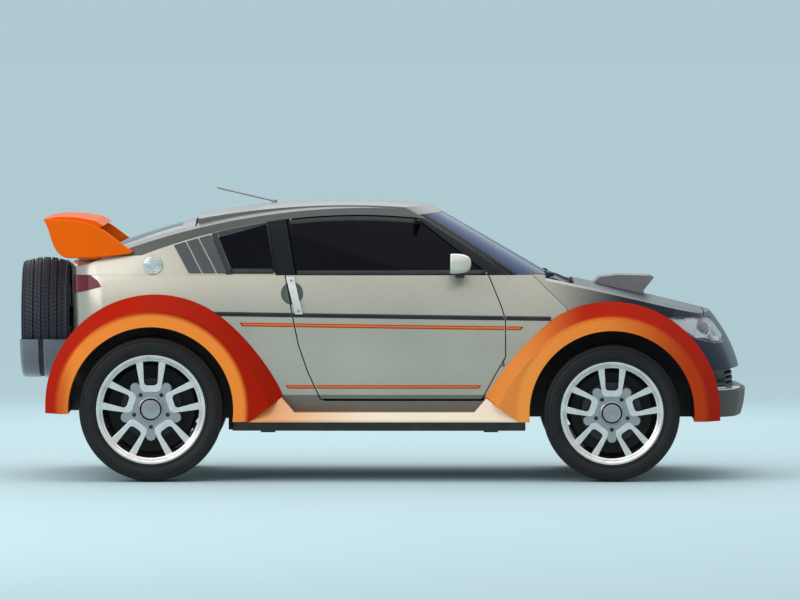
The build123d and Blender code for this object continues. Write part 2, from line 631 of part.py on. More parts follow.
with BuildPart() as leaf:
    with BuildSketch(Plane.XZ.offset(FIN_OUTER)):
        with BuildLine():
            Spline(*FIN_TOP)
            Line(FIN_TOP[-1], FIN_UNDER[0])
            Spline(*FIN_UNDER)
            Spline(*FIN_REAR)
        make_face()
    extrude(amount=FIN_INNER - FIN_OUTER)
    fillet(leaf.faces().sort_by(Axis.Y)[0].edges(), FIN_ROUND)
fin = trim(leaf.part, remove=[envelope(CABIN_SECTIONS, -SHUT_GAP)])
rail_clear = trim(
    roof_form(ROOF_TOP, ROOF_RADIUS, -SHUT_GAP),
    keep=[block((-1900.0, -900.0, 900.0), (-1000.0, -TAILGATE_HALF + 2.0, 1600.0))],
)
lid_seat = trim(
    roof_form(ROOF_TOP, ROOF_RADIUS, -SEAT_GAP),
    keep=[block((-1900.0, -TAILGATE_HALF + 2.0, 900.0), (-1000.0, 0.0, 1600.0))],
)
fin_foot = trim(
    block((-1650.0, -FIN_INNER - 6.0, 1225.0), (-1570.0, -505.0, 1296.0)), remove=[rail_clear, lid_seat]
)
BLADE_OUTLINE = [
    (-1884.0, 1450.0), (-1884.0, 1440.0), (-1700.0, 1418.0), (-1566.0, 1404.0), (-1552.0, 1412.0),
    (-1600.0, 1440.0), (-1700.0, 1458.0), (-1800.0, 1462.0),
]
blade = side_prism(BLADE_OUTLINE, -FIN_INNER - 1.0, FIN_INNER + 1.0)
rear_wing = join(both_sides(join(fin, fin_foot)), blade)


# Arch flares and liners, side steps
def flare_piece(flare, ahead):
    """Tapered flare on the right; ahead is 1 where the side step lies ahead of the wheel, else -1."""
    angle = radians(flare.leave_angle)
    centre_x, centre_z = flare.centre
    leave = (centre_x + flare.radius * cos(angle), centre_z + flare.radius * sin(angle))
    far_x = centre_x - ahead * flare.radius
    far_angle = 90.0 + ahead * 90.0
    low = 100.0
    with BuildPart() as piece:
        with BuildSketch(Plane.XZ.offset(FLARE_ROOT)) as outline:
            with BuildLine():
                CenterArc(flare.centre, flare.radius, flare.leave_angle, far_angle - flare.leave_angle)
                run_out = TangentArc(leave, flare.step_point, tangent=(ahead * sin(angle), -ahead * cos(angle)))
                end = run_out % 1
                drop = (low - flare.step_point[1]) / end.Y
                low_x = flare.step_point[0] + end.X * drop
                Polyline(flare.step_point, (low_x, low), (far_x, low), (far_x, centre_z))
            make_face()
        extrude(amount=FLARE_HALF - FLARE_ROOT, taper=degrees(atan2(FLARE_SHRINK, FLARE_HALF - FLARE_ROOT)))
        extrude(outline.sketch, amount=-110.0)
    step_x, step_z = flare.step_point
    mitre = [
        (step_x + ahead * 300.0, step_z), (step_x, step_z), (step_x - ahead * 188.0, flare.near_foot),
        (flare.axle_x, flare.near_foot), (flare.axle_x, 0.0), (step_x + ahead * 300.0, 0.0),
    ]
    foot = [
        (flare.axle_x, flare.far_foot), (flare.axle_x - ahead * 900.0, flare.far_foot),
        (flare.axle_x - ahead * 900.0, 0.0), (flare.axle_x, 0.0),
    ]
    return trim(
        piece.part,
        remove=[
            lower_skin, axle_cylinder(flare.axle_x, flare.axle_z, ARCH_RADIUS, 400.0, 1100.0),
            side_prism(mitre, 300.0, 1100.0), side_prism(foot, 300.0, 1100.0),
        ],
    )


front_flare = flare_piece(FLARES["front"], -1)
rear_flare = flare_piece(FLARES["rear"], 1)

LIP_OUT = 23.0
lip_hollow = trim(
    envelope(LOWER_SECTIONS, DOOR_WALL), keep=[block((1000.0, -1000.0, 300.0), (2200.0, 1000.0, 600.0))]
)
nose_seat = trim(
    lower_skin, keep=[block((1000.0, -1000.0, NOSE_BOTTOM - SEAT_GAP), (2200.0, 1000.0, 600.0))]
)
front_lip = trim(
    envelope(LOWER_SECTIONS, -LIP_OUT),
    keep=[block((1840.0, -1000.0, 352.0), (2200.0, 1000.0, 496.0))],
    remove=[nose_seat, lip_hollow, front_flare, left_of(front_flare)],
)


def liner_piece(flare, inner_wall, slot_half, slot_top):
    """Wheel-arch liner on the right with an inner wall, slotted for the axle or arms."""
    axle = (flare.axle_x, flare.axle_z)
    return trim(
        axle_cylinder(*axle, ARCH_RADIUS + 1.0 + LINER, inner_wall, 1000.0),
        keep=[envelope(LOWER_SECTIONS, 1.0)],
        remove=[
            axle_cylinder(*axle, ARCH_RADIUS + 1.0, inner_wall + LINER, 1000.0),
            block((-2500.0, -WIDE, 0.0), (2500.0, 0.0, SILL_BOTTOM + 1.0)),
            block((flare.axle_x - slot_half, -inner_wall - 100.0, 300.0), (flare.axle_x + slot_half, 0.0, slot_top)),
        ],
    )


front_liner = liner_piece(FLARES["front"], 418.0, 70.0, 570.0)
rear_liner = liner_piece(FLARES["rear"], 585.0, 80.0, 470.0)
STEP_SIDE = [
    (-745.0, 332.0), (-745.0, 336.0), (-561.0, 466.0), (-490.0, 385.0), (505.0, 385.0), (572.0, 460.0),
    (748.0, 336.0), (748.0, 332.0),
]
STEP_END = [(-730.0, 300.0), (-925.0, 300.0), (-925.0, 344.0), (-838.0, 470.0), (-730.0, 470.0)]
side_step = trim(
    side_prism(STEP_SIDE, 500.0, 1000.0),
    keep=[front_prism(STEP_END, -1000.0, 1000.0)],
    remove=[lower_skin, front_flare, rear_flare],
)


# Wheels, drawn about +Z with the outer face up, then placed
def tyre_shape(size):
    """Solid road tyre ring, plain tread."""
    half, lip, radius = size.tyre_width / 2, size.lip_radius, size.tyre_radius
    bead = lip - 22.0
    shoulder_drop, shoulder_in = size.shoulder
    shoulder = (radius - shoulder_drop, half - shoulder_in)
    with BuildPart() as ring:
        with BuildSketch(Plane.XZ):
            with BuildLine():
                Polyline((lip + 3.0, -half + 26.0), (bead, -half + 26.0), (bead, half - 26.0), (lip + 3.0, half - 26.0))
                for side in (1.0, -1.0):
                    ThreePointArc(
                        (lip + 3.0, side * (half - 26.0)), ((lip + radius) / 2, side * half),
                        (shoulder[0], side * shoulder[1]),
                    )
                ThreePointArc(shoulder, (radius, 0.0), (shoulder[0], -shoulder[1]))
            make_face()
        revolve(axis=Axis.Z)
    return ring.part


def hub_back(size):
    """Height of the hub's rear face along the wheel's own axis."""
    return size.tyre_width / 2 - 115.0


def spread_bar(start, half, slope, end, corner):
    """Bar along X whose sides spread outward from a rounded near end."""
    far_half = half + slope * (end - start)
    with BuildSketch() as bar:
        with BuildLine():
            Polyline((start, -half), (end, -far_half), (end, far_half), (start, half), close=True)
        make_face()
        fillet(bar.vertices().group_by(Axis.X)[0], corner)
    return bar.sketch


def rim_shape(size):
    """Rim with paired U spokes, a star behind them and a blank cap, bored for its spindle."""
    half, lip = size.tyre_width / 2, size.lip_radius
    bead, scale = lip - 22.0, lip / 285.0
    barrel = bead - 13.0
    face, back = half - 40.0, hub_back(size)
    with BuildPart() as rim:
        with BuildSketch(Plane.XZ):
            with BuildLine():
                Polyline(
                    (barrel, -half + 15.0), (lip, -half + 15.0), (lip, -half + 25.0), (bead - 1.0, -half + 25.0),
                    (bead - 1.0, half - 25.0), (lip, half - 25.0), (lip, half - 15.0), (lip - 10.0, half - 15.0),
                    (barrel, half - 34.0), close=True,
                )
            make_face()
        revolve(axis=Axis.Z)
        with BuildSketch(Plane.XY.offset(face - 34.0)):
            with PolarLocations(0.0, SPOKES, 90.0):
                add(spread_bar(91.0 * scale, 51.0 * scale, 0.178, barrel + 10.0, 30.0 * scale))
            with PolarLocations(0.0, SPOKES, 90.0):
                add(spread_bar(125.0 * scale, 35.0 * scale, 0.05, barrel + 40.0, 20.0 * scale), mode=Mode.SUBTRACT)
            Circle(barrel + 6.0, mode=Mode.INTERSECT)
        extrude(amount=34.0)
        with BuildSketch(Plane.XY.offset(back)):
            Circle(112.0 * scale)
            with PolarLocations(0.0, SPOKES, 90.0 + 180.0 / SPOKES):
                with Locations((108.0 * scale, 0.0)):
                    SlotOverall(112.0 * scale, 54.0 * scale)
        extrude(amount=face - 16.0 - back)
        with BuildSketch(Plane.XY.offset(back)):
            Circle(66.0 * scale)
        extrude(amount=face + 6.0 - back)
        with BuildSketch(Plane.XY.offset(back)):
            Circle(SPINDLE_RADIUS + PIN_CLEARANCE)
        extrude(amount=55.0, mode=Mode.SUBTRACT)
    return rim.part


def placed(shape, place):
    """A shape drawn at the origin, moved to its place."""
    with BuildPart() as piece:
        with Locations(place):
            add(shape)
    return piece.part


def right_place(size):
    return Location((size.axle_x, -size.track / 2, size.tyre_radius), (90, 0, 0))


front_tyre = placed(tyre_shape(FRONT_WHEEL), right_place(FRONT_WHEEL))
front_rim = placed(rim_shape(FRONT_WHEEL), right_place(FRONT_WHEEL))
rear_tyre = placed(tyre_shape(REAR_WHEEL), right_place(REAR_WHEEL))
rear_rim = placed(rim_shape(REAR_WHEEL), right_place(REAR_WHEEL))
spare_place = Location((SPARE_WHEEL.axle_x, 0, SPARE_Z), (0, -90, 0))
spare_tyre = placed(tyre_shape(SPARE_WHEEL), spare_place)
spare_rim = placed(rim_shape(SPARE_WHEEL), spare_place)


def spindle_end(size):
    return size.track / 2 + hub_back(size) + 50.0


# Spare carrier: boss on the tail, and a two-part guard under the tyre
GUARD_THICK = 12.0
guard_in = SPARE_WHEEL.tyre_radius + 0.6
guard_out = guard_in + GUARD_THICK
guard_top = 769.0
spare_rear = SPARE_WHEEL.axle_x - SPARE_WHEEL.tyre_width / 2
spare_front = SPARE_WHEEL.axle_x + SPARE_WHEEL.tyre_width / 2


def spare_ring(rear_x, front_x, inner, outer):
    """Ring about the spare's axis between two X stations."""
    return trim(
        rod((rear_x, 0, SPARE_Z), (front_x, 0, SPARE_Z), outer),
        remove=[rod((rear_x - 1.0, 0, SPARE_Z), (front_x + 1.0, 0, SPARE_Z), inner)],
    )


guard = trim(
    join(
        spare_ring(spare_rear - 7.0, -1926.0, guard_in, guard_out),
        spare_ring(-1902.0, spare_front - 4.0, guard_in, guard_out),
        spare_ring(-1950.0, -1880.0, guard_in, guard_in + 4.0),
        spare_ring(spare_rear - 7.0, spare_rear - SPARE_BULGE, 255.0, guard_out),
        *[block((spare_front - 40.0, y - 30.0, 545.0), (-1700.0, y + 30.0, 585.0)) for y in (-150.0, 150.0)],
    ),
    remove=[
        block((-2200.0, -500.0, guard_top), (-1500.0, 500.0, 1500.0)),
        lower_skin,
        rod((spare_rear - SPARE_BULGE, 0, SPARE_Z), (spare_front + SPARE_BULGE, 0, SPARE_Z), guard_in),
    ],
)
hub_x = SPARE_WHEEL.axle_x - hub_back(SPARE_WHEEL)
carrier = trim(
    join(rod((hub_x + SEAT_GAP, 0, SPARE_Z), (-1700.0, 0, SPARE_Z), 60.0),
         rod((hub_x - 50.0, 0, SPARE_Z), (-1800.0, 0, SPARE_Z), SPINDLE_RADIUS)),
    remove=[lower_skin],
)
spare_cradle = join(guard, carrier)

# Floor, firewall, front rails
tub_inset = DOOR_WALL + SEAT_GAP
tub = envelope(LOWER_SECTIONS, tub_inset)
arch_room = [
    axle_cylinder(flare.axle_x, flare.axle_z, ARCH_RADIUS + LINER + 1.3, 400.0, 1000.0) for flare in FLARES.values()
]
arch_room += [left_of(room) for room in arch_room]
KICK_REAR_X, KICK_FRONT_X = -860.0, -830.0
REAR_FLOOR = (482.0, 520.0)
JACK_PADS = [(600.0, 560.0), (600.0, -560.0), (-640.0, 560.0), (-640.0, -560.0)]
floor_pan = join(
    trim(
        envelope(LOWER_SECTIONS, 38.0),
        keep=[block((KICK_REAR_X, -1000.0, FLOOR_BOTTOM), (790.0, 1000.0, SILL_BOTTOM))],
        remove=arch_room,
    ),
    block((KICK_REAR_X, -575.0, FLOOR_BOTTOM), (KICK_FRONT_X, 575.0, REAR_FLOOR[1])),
    trim(tub, keep=[block((-1700.0, -575.0, REAR_FLOOR[0]), (KICK_FRONT_X, 575.0, REAR_FLOOR[1]))]),
    *[block((x - 40.0, y - 40.0, 262.0), (x + 40.0, y + 40.0, FLOOR_BOTTOM)) for x, y in JACK_PADS],
)
RAIL_SPAN = (330.0, 415.0)
firewall = trim(
    tub,
    keep=[
        join(
            block((770.0, -1000.0, SILL_BOTTOM), (790.0, 1000.0, 1052.0)),
            block((600.0, -1000.0, 1050.0), (830.0, 1000.0, 1066.0)),
            block((600.0, -611.0, 1050.0), (1054.0, 611.0, 1066.0)),
            *[block((770.0, low, 350.0), (2000.0, high, 450.0)) for low, high in (RAIL_SPAN, (-415.0, -330.0))],
        )
    ],
)
firewall = join(firewall, both_sides(bonnet_lug))
ENGINE_HALF = 380.0
with BuildPart() as engine:
    add(block((880.0, -ENGINE_HALF, 450.0), (1480.0, ENGINE_HALF, 760.0)))
    add(block((900.0, -300.0, 760.0), (1460.0, 300.0, 900.0)))
engine_block = engine.part

# Front suspension, knuckles, rear axle
kingpin_half = FRONT_WHEEL.track / 2 - KINGPIN_INSET
front_z, rear_z = FRONT_WHEEL.tyre_radius, REAR_WHEEL.tyre_radius


def kingpin_rod(low, high, radius):
    """Upright bar on the right kingpin axis."""
    return rod((FRONT_AXLE_X, -kingpin_half, low), (FRONT_AXLE_X, -kingpin_half, high), radius)


def arm_piece(width, low, high, boss):
    """Wishbone on the right: bar out to a bored boss about the kingpin."""
    bar = block((FRONT_AXLE_X - width / 2, -kingpin_half + 10.0, low), (FRONT_AXLE_X + width / 2, -400.0, high))
    return trim(
        join(bar, kingpin_rod(*boss, 28.0)),
        remove=[kingpin_rod(boss[0] - 1.0, boss[1] + 1.0, KINGPIN_RADIUS + PIN_CLEARANCE)],
    )


LOWER_BOSS, UPPER_BOSS = (228.0, 268.0), (492.0, 528.0)
lower_arm = arm_piece(60.0, 236.0, 262.0, LOWER_BOSS)
upper_arm = join(
    arm_piece(52.0, 498.0, 522.0, UPPER_BOSS),
    block((FRONT_AXLE_X - 30.0, -415.0, 450.0), (FRONT_AXLE_X + 30.0, -385.0, 540.0)),
)
front_suspension = join(
    block((FRONT_AXLE_X - 60.0, -415.0, 240.0), (FRONT_AXLE_X + 60.0, 415.0, 350.0)),
    both_sides(lower_arm), both_sides(upper_arm),
)
knuckle = join(
    kingpin_rod(270.0, 490.0, 24.0),
    kingpin_rod(232.0, 272.0, KINGPIN_RADIUS), kingpin_rod(488.0, 524.0, KINGPIN_RADIUS),
    axle_cylinder(FRONT_AXLE_X, front_z, SPINDLE_RADIUS, kingpin_half, spindle_end(FRONT_WHEEL)),
    axle_cylinder(FRONT_AXLE_X, front_z, 170.0, kingpin_half + 34.0, kingpin_half + 48.0),
    block((FRONT_AXLE_X - 120.0, -kingpin_half - 12.0, 322.0), (FRONT_AXLE_X, -kingpin_half + 12.0, 346.0)),
)
axle_side = join(
    axle_cylinder(REAR_AXLE_X, rear_z, 42.0, 0.0, 700.0),
    axle_cylinder(REAR_AXLE_X, rear_z, SPINDLE_RADIUS, 690.0, spindle_end(REAR_WHEEL)),
    axle_cylinder(REAR_AXLE_X, rear_z, 178.0, 700.0, 716.0),
    block((REAR_AXLE_X, -530.0, 352.0), (KICK_REAR_X, -470.0, 410.0)),
)
rear_axle = join(both_sides(axle_side), axle_cylinder(REAR_AXLE_X, rear_z, 76.0, -110.0, 110.0))

# Cabin furniture
SEAT_BACK = [(-190.0, 470.0), (-60.0, 470.0), (-240.0, 1090.0), (-330.0, 1070.0)]
HEAD_REST = [(-262.0, 1080.0), (-200.0, 1095.0), (-232.0, 1250.0), (-310.0, 1232.0)]
front_seat = join(
    block((-160.0, -570.0, SILL_BOTTOM), (300.0, -200.0, 440.0)),
    block((-170.0, -600.0, 430.0), (340.0, -170.0, 580.0)),
    side_prism(SEAT_BACK, 170.0, 600.0),
    side_prism(HEAD_REST, 280.0, 490.0),
)
REAR_BACK = [(-800.0, 540.0), (-700.0, 540.0), (-790.0, 1020.0), (-828.0, 1020.0), (-828.0, 540.0)]
rear_seat = join(
    block((-828.0, -560.0, SILL_BOTTOM), (-400.0, 560.0, 560.0)), side_prism(REAR_BACK, -560.0, 560.0)
)
seats = join(both_sides(front_seat), rear_seat)
DASH_OUTLINE = [(500.0, 790.0), (470.0, 900.0), (520.0, 1000.0), (769.7, 1046.0), (769.7, 760.0), (600.0, 740.0)]
dashboard = side_prism(DASH_OUTLINE, -640.0, 640.0)
WHEEL_CENTRE = (400.0, 360.0, 925.0)
column_tip = (560.0, 360.0, 868.0)
with BuildPart() as hand_wheel:
    with BuildSketch(Plane(WHEEL_CENTRE, x_dir=(0, 1, 0), z_dir=(-0.94, 0, 0.34))) as wheel_face:
        Circle(185.0)
        Circle(157.0, mode=Mode.SUBTRACT)
        Rectangle(330.0, 40.0)
        Circle(60.0)
    extrude(amount=26.0)
steering_wheel = trim(join(hand_wheel.part, rod(WHEEL_CENTRE, column_tip, 26.0)), remove=[dashboard])
MAST_BASE = (-614.0, 1526.0)
MAST_TIP = (-935.0, 1613.0)
mast_seat = arc_height(PANEL_TOP, PANEL_RADIUS, MAST_BASE[0])
antenna = trim(
    join(
        rod((MAST_BASE[0], 0, mast_seat - 10.0), (MAST_BASE[0], 0, mast_seat + 16.0), 16.0),
        rod((MAST_BASE[0] + 4.0, 0, mast_seat + 8.0), (MAST_TIP[0], 0, MAST_TIP[1]), 5.0),
    ),
    remove=[roof_form(PANEL_TOP, PANEL_RADIUS, -SEAT_GAP)],
)

# Louvres on the roof post
LOUVRE_LINES = [
    [(-1167.0, 1316.0), (-1067.0, 1134.0)], [(-1095.0, 1338.0), (-990.0, 1134.0)],
    [(-1028.0, 1360.0), (-912.0, 1139.0)], [(-944.0, 1360.0), (-850.0, 1139.0)],
]
LOUVRE_LINE_GAP = 9.0
louvre_layer = trim(
    envelope(CABIN_SECTIONS, -9.0), keep=[under_rail_edge(8.0), block((-1300.0, -1000.0, BELT_Z + 14.0),
                                                                     (-700.0, 0.0, 1500.0))],
    remove=[envelope(CABIN_SECTIONS, -SEAT_GAP)],
)
side_louvre = join(
    *[
        trim(louvre_layer, keep=[side_prism([top, (next_top[0] - LOUVRE_LINE_GAP, next_top[1]),
                                             (next_low[0] - LOUVRE_LINE_GAP, next_low[1]), low], 300.0, 1000.0)])
        for (top, low), (next_top, next_low) in zip(LOUVRE_LINES, LOUVRE_LINES[1:])
    ]
)

NODES = {
    "floor_pan": floor_pan,
    "firewall": firewall,
    "sills": both_sides(sill),
    "rear_quarter_right": rear_quarter,
    "rear_quarter_left": rear_quarter_left,
    "front_posts": both_sides(front_post),
    "front_fenders": both_sides(fender),
    "roof_rails": both_sides(roof_rail),
    "front_pillars": both_sides(front_pillar),
    "middle_pillars": both_sides(middle_pillar),
    "roof_panel": roof_panel,
    "nose_panel": nose_panel,
    "front_lip": front_lip,
    "front_grille": grille,
    "headlamps": both_sides(headlamp),
    "windscreen": windscreen,
    "quarter_glass": both_sides(quarter_glass),
    "front_flares": both_sides(front_flare),
    "rear_flares": both_sides(rear_flare),
    "side_steps": both_sides(side_step),
    "front_liners": both_sides(front_liner),
    "rear_liners": both_sides(rear_liner),
    "tail_panel": tail_panel,
    "tail_lamps": both_sides(tail_lamp),
    "fuel_cap": fuel_cap,
    "side_louvres": both_sides(side_louvre),
    "engine_block": engine_block,
    "front_suspension": front_suspension,
    "rear_axle": rear_axle,
    "seats": seats,
    "dashboard": dashboard,
    "steering_wheel": steering_wheel,
    "antenna": antenna,
    "spare_tyre": spare_tyre,
    "spare_rim": spare_rim,
    "spare_cradle": spare_cradle,
    "bonnet_panel": bonnet_panel,
    "bonnet_scoop": bonnet_scoop,
    "tailgate_shell": tailgate_shell,
    "tailgate_glass": tailgate_glass,
    "rear_wing": rear_wing,
}
PAIRED = {
    "door_shell": door_shell,
    "door_glass": door_glass,
    "door_mirror": door_mirror,
    "door_handle": door_handle,
    "knuckle": knuckle,
    "front_tyre": front_tyre,
    "front_rim": front_rim,
    "rear_tyre": rear_tyre,
    "rear_rim": rear_rim,
}
for name, right in PAIRED.items():
    NODES[name + "_right"] = right
    NODES[name + "_left"] = left_of(right)

os.makedirs("parts", exist_ok=True)
for name, shape in NODES.items():
    shape.label = name
    export_step(shape, f"parts/{name}.step")
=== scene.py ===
import math

import bmesh
import bpy
from mathutils import Matrix, Vector
from mathutils.bvhtree import BVHTree


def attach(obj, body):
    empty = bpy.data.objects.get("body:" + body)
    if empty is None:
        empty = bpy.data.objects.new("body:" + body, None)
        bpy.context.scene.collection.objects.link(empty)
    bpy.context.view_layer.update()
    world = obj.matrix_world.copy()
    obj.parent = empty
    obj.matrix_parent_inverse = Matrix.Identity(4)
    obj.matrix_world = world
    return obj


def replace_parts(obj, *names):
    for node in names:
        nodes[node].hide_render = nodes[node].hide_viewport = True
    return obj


# Looks of a two-door crossover coupe. Metres; +X forward, +Y left, +Z up, ground at Z = 0.
# Pieces that come in pairs are modelled on the right and mirrored to the left.
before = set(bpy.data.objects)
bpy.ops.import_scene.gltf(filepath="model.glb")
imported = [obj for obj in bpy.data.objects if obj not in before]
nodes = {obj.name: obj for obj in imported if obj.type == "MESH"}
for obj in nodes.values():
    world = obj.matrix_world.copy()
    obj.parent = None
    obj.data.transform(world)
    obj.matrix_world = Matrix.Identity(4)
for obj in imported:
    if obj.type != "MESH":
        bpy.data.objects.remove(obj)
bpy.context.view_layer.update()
SIDES = (("right", -1.0), ("left", 1.0))

# Wheels: axle place on the right, tyre radius and width, rim lip radius, fall of the tread towards its edge,
# and how far that edge lies inside the sidewall
FRONT_WHEEL = dict(x=1.266, y=-0.768, radius=0.38, width=0.285, lip=0.285, drop=0.007, inset=0.022)
REAR_WHEEL = dict(x=-1.284, y=-0.758, radius=0.401, width=0.305, lip=0.302, drop=0.007, inset=0.022)
SPARE_WHEEL = dict(x=-1.892, z=0.889, radius=0.334, width=0.272, lip=0.245, drop=0.02, inset=0.028)
SPARE_PLACE = (SPARE_WHEEL["x"], 0, SPARE_WHEEL["z"])
WHEEL_FACE_Y = 0.862
SPARE_FACE_X = 1.98

# Lines of the body in side view
FLARE_LIP_REACH = 0.515
BELT_Z = 1.14
RAIL_EDGE_TOP = (-0.15, 1.471)
RAIL_EDGE_RADIUS = 3.3

# Depth of the finest relief, and the edge radius that paint shows
PEEL_DEPTH = 0.00004
GRAIN_DEPTH = 0.00012
CAST_DEPTH = 0.00003
PAINT_EDGE = 0.0035


def put(tree, value, socket):
    """Links a socket, or sets a plain value."""
    if isinstance(value, bpy.types.NodeSocket):
        tree.links.new(value, socket)
    else:
        socket.default_value = value


def add_node(tree, kind, inputs=(), **settings):
    """A shader node with its settings and inputs."""
    made = tree.nodes.new("ShaderNode" + kind)
    for key, value in settings.items():
        setattr(made, key, value)
    for key, value in dict(inputs).items():
        put(tree, value, made.inputs[key])
    return made


def mix_colours(tree, factor, first, second):
    made = add_node(tree, "Mix", {0: factor, 6: first, 7: second}, data_type="RGBA")
    return made.outputs[2]


def maths(tree, operation, first, second=0.0, clamp=False):
    made = add_node(tree, "Math", {0: first, 1: second}, operation=operation, use_clamp=clamp)
    return made.outputs[0]


def plus(tree, first, second, clamp=False):
    return maths(tree, "ADD", first, second, clamp)


def times(tree, first, second):
    return maths(tree, "MULTIPLY", first, second)


def ramp(tree, value, from_low, from_high, to_low=0.0, to_high=1.0):
    made = add_node(
        tree, "MapRange",
        {"Value": value, "From Min": from_low, "From Max": from_high, "To Min": to_low, "To Max": to_high},
        interpolation_type="SMOOTHSTEP",
    )
    return made.outputs["Result"]


def object_place(tree):
    return add_node(tree, "TexCoord").outputs["Object"]


def noise(tree, place, scale, detail=2.0):
    return add_node(tree, "TexNoise", {"Vector": place, "Scale": scale, "Detail": detail}).outputs["Fac"]


COLOUR, NUMBER = "NodeSocketColor", "NodeSocketFloat"
SURFACE = (("Colour", COLOUR), ("Roughness", NUMBER), ("Height", NUMBER))
ROAD_FILM = (0.2, 0.17, 0.14, 1.0)


def new_group(name, **inputs):
    """An empty shader group with named inputs, and its input and output sockets."""
    tree = bpy.data.node_groups.new(name, "ShaderNodeTree")
    for label, value in inputs.items():
        kind = NUMBER if isinstance(value, float) else COLOUR
        tree.interface.new_socket(name=label, in_out="INPUT", socket_type=kind).default_value = value
    for label, kind in SURFACE:
        tree.interface.new_socket(name=label, in_out="OUTPUT", socket_type=kind)
    return tree, tree.nodes.new("NodeGroupInput").outputs, tree.nodes.new("NodeGroupOutput").inputs


def film_mask(tree, place, amount):
    """Thin road film that gathers low on the car."""
    height = add_node(tree, "SeparateXYZ", {0: place}).outputs["Z"]
    low = ramp(tree, height, 0.75, 0.2)
    patchy = ramp(tree, noise(tree, place, 6.0, 5.0), 0.3, 0.75, 0.35, 1.0)
    return times(tree, times(tree, low, patchy), amount)


def flake_paint_group():
    """Metallic paint: fine flakes, a slow change of tone, orange peel and a road film."""
    tree, given, result = new_group(
        "flake_paint", Colour=(0.5, 0.5, 0.5, 1), Flake=(0.7, 0.7, 0.7, 1), Gloss=0.3, Film=0.2
    )
    place = object_place(tree)
    cells = add_node(tree, "TexVoronoi", {"Vector": place, "Scale": 620.0})
    spark = add_node(tree, "RGBToBW", {0: cells.outputs["Color"]}).outputs[0]
    flaked = mix_colours(tree, ramp(tree, spark, 0.35, 0.95, 0.0, 0.55), given["Colour"], given["Flake"])
    slow = ramp(tree, noise(tree, place, 1.7), 0.3, 0.7, 0.0, 0.1)
    toned = mix_colours(tree, slow, flaked, (0.02, 0.02, 0.02, 1))
    film = film_mask(tree, place, given["Film"])
    put(tree, mix_colours(tree, film, toned, ROAD_FILM), result["Colour"])
    rough = plus(tree, given["Gloss"], times(tree, noise(tree, place, 40.0), 0.05))
    put(tree, plus(tree, rough, times(tree, film, 0.5)), result["Roughness"])
    put(tree, noise(tree, place, 130.0, 1.0), result["Height"])
    return tree


def moulded_grain_group():
    """Moulded plastic or rubber: fine pits, scuffed tone and a road film."""
    tree, given, result = new_group(
        "moulded_grain", Colour=(0.05, 0.05, 0.05, 1), Grain=500.0, Gloss=0.5, Film=0.2, Scuff=0.15
    )
    place = object_place(tree)
    pits = add_node(tree, "TexVoronoi", {"Vector": place, "Scale": given["Grain"]}).outputs["Distance"]
    tone = times(tree, ramp(tree, noise(tree, place, 9.0, 6.0), 0.3, 0.75), given["Scuff"])
    scuffed = mix_colours(tree, tone, given["Colour"], (0.16, 0.16, 0.17, 1))
    film = film_mask(tree, place, given["Film"])
    put(tree, mix_colours(tree, film, scuffed, ROAD_FILM), result["Colour"])
    rough = plus(tree, given["Gloss"], times(tree, pits, 0.25))
    put(tree, plus(tree, rough, times(tree, film, 0.4), True), result["Roughness"])
    put(tree, pits, result["Height"])
    return tree


def cast_metal_group():
    """Cast or machined metal: fine grain and faint smudges."""
    tree, given, result = new_group("cast_metal", Colour=(0.6, 0.6, 0.6, 1), Gloss=0.3, Film=0.2)
    place = object_place(tree)
    smudge = ramp(tree, noise(tree, place, 22.0, 5.0), 0.35, 0.75, 0.0, 0.22)
    toned = mix_colours(tree, smudge, given["Colour"], (0.1, 0.1, 0.11, 1))
    film = film_mask(tree, place, given["Film"])
    put(tree, mix_colours(tree, film, toned, ROAD_FILM), result["Colour"])
    rough = plus(tree, given["Gloss"], times(tree, smudge, 0.6))
    put(tree, rough, result["Roughness"])
    put(tree, noise(tree, place, 800.0, 1.0), result["Height"])
    return tree


FLAKE_PAINT = flake_paint_group()
MOULDED_GRAIN = moulded_grain_group()
CAST_METAL = cast_metal_group()


def new_material(name):
    """A material with its node tree and shader."""
    finish = bpy.data.materials.new(name)
    finish.use_nodes = True
    return finish, finish.node_tree, finish.node_tree.nodes["Principled BSDF"]


def surface(name, group, values, shader_values, bump, edge):
    """A material from one of the groups. Bump is in metres; edge rounds hard edges in shading."""
    finish, tree, shader = new_material(name)
    for socket, value in shader_values.items():
        shader.inputs[socket].default_value = value
    made = add_node(tree, "Group", node_tree=group)
    for socket, value in values.items():
        made.inputs[socket].default_value = value
    put(tree, made.outputs["Colour"], shader.inputs["Base Color"])
    put(tree, made.outputs["Roughness"], shader.inputs["Roughness"])
    relief = add_node(tree, "Bump", {"Height": made.outputs["Height"], "Distance": bump})
    if edge:
        soft = add_node(tree, "Bevel", {"Radius": edge}, samples=6)
        put(tree, soft.outputs["Normal"], relief.inputs["Normal"])
    put(tree, relief.outputs["Normal"], shader.inputs["Normal"])
    return finish


def rgb(red, green, blue):
    return (red, green, blue, 1.0)


def paint(name, colour, flake, metal=0.55, gloss=0.32, film=0.22, coat=1.0, shine=0.5):
    values = {"Colour": rgb(*colour), "Flake": rgb(*flake), "Gloss": gloss, "Film": film}
    shader_values = {
        "Metallic": metal, "Coat Weight": coat, "Coat Roughness": 0.06, "Specular IOR Level": shine,
    }
    return surface(name, FLAKE_PAINT, values, shader_values, PEEL_DEPTH, PAINT_EDGE)


def satin(name, colour, flake, metal=0.0, gloss=0.32, coat=0.1, shine=0.2):
    """Paint of low gloss, without road film."""
    return paint(name, colour, flake, metal, gloss, 0.0, coat, shine)


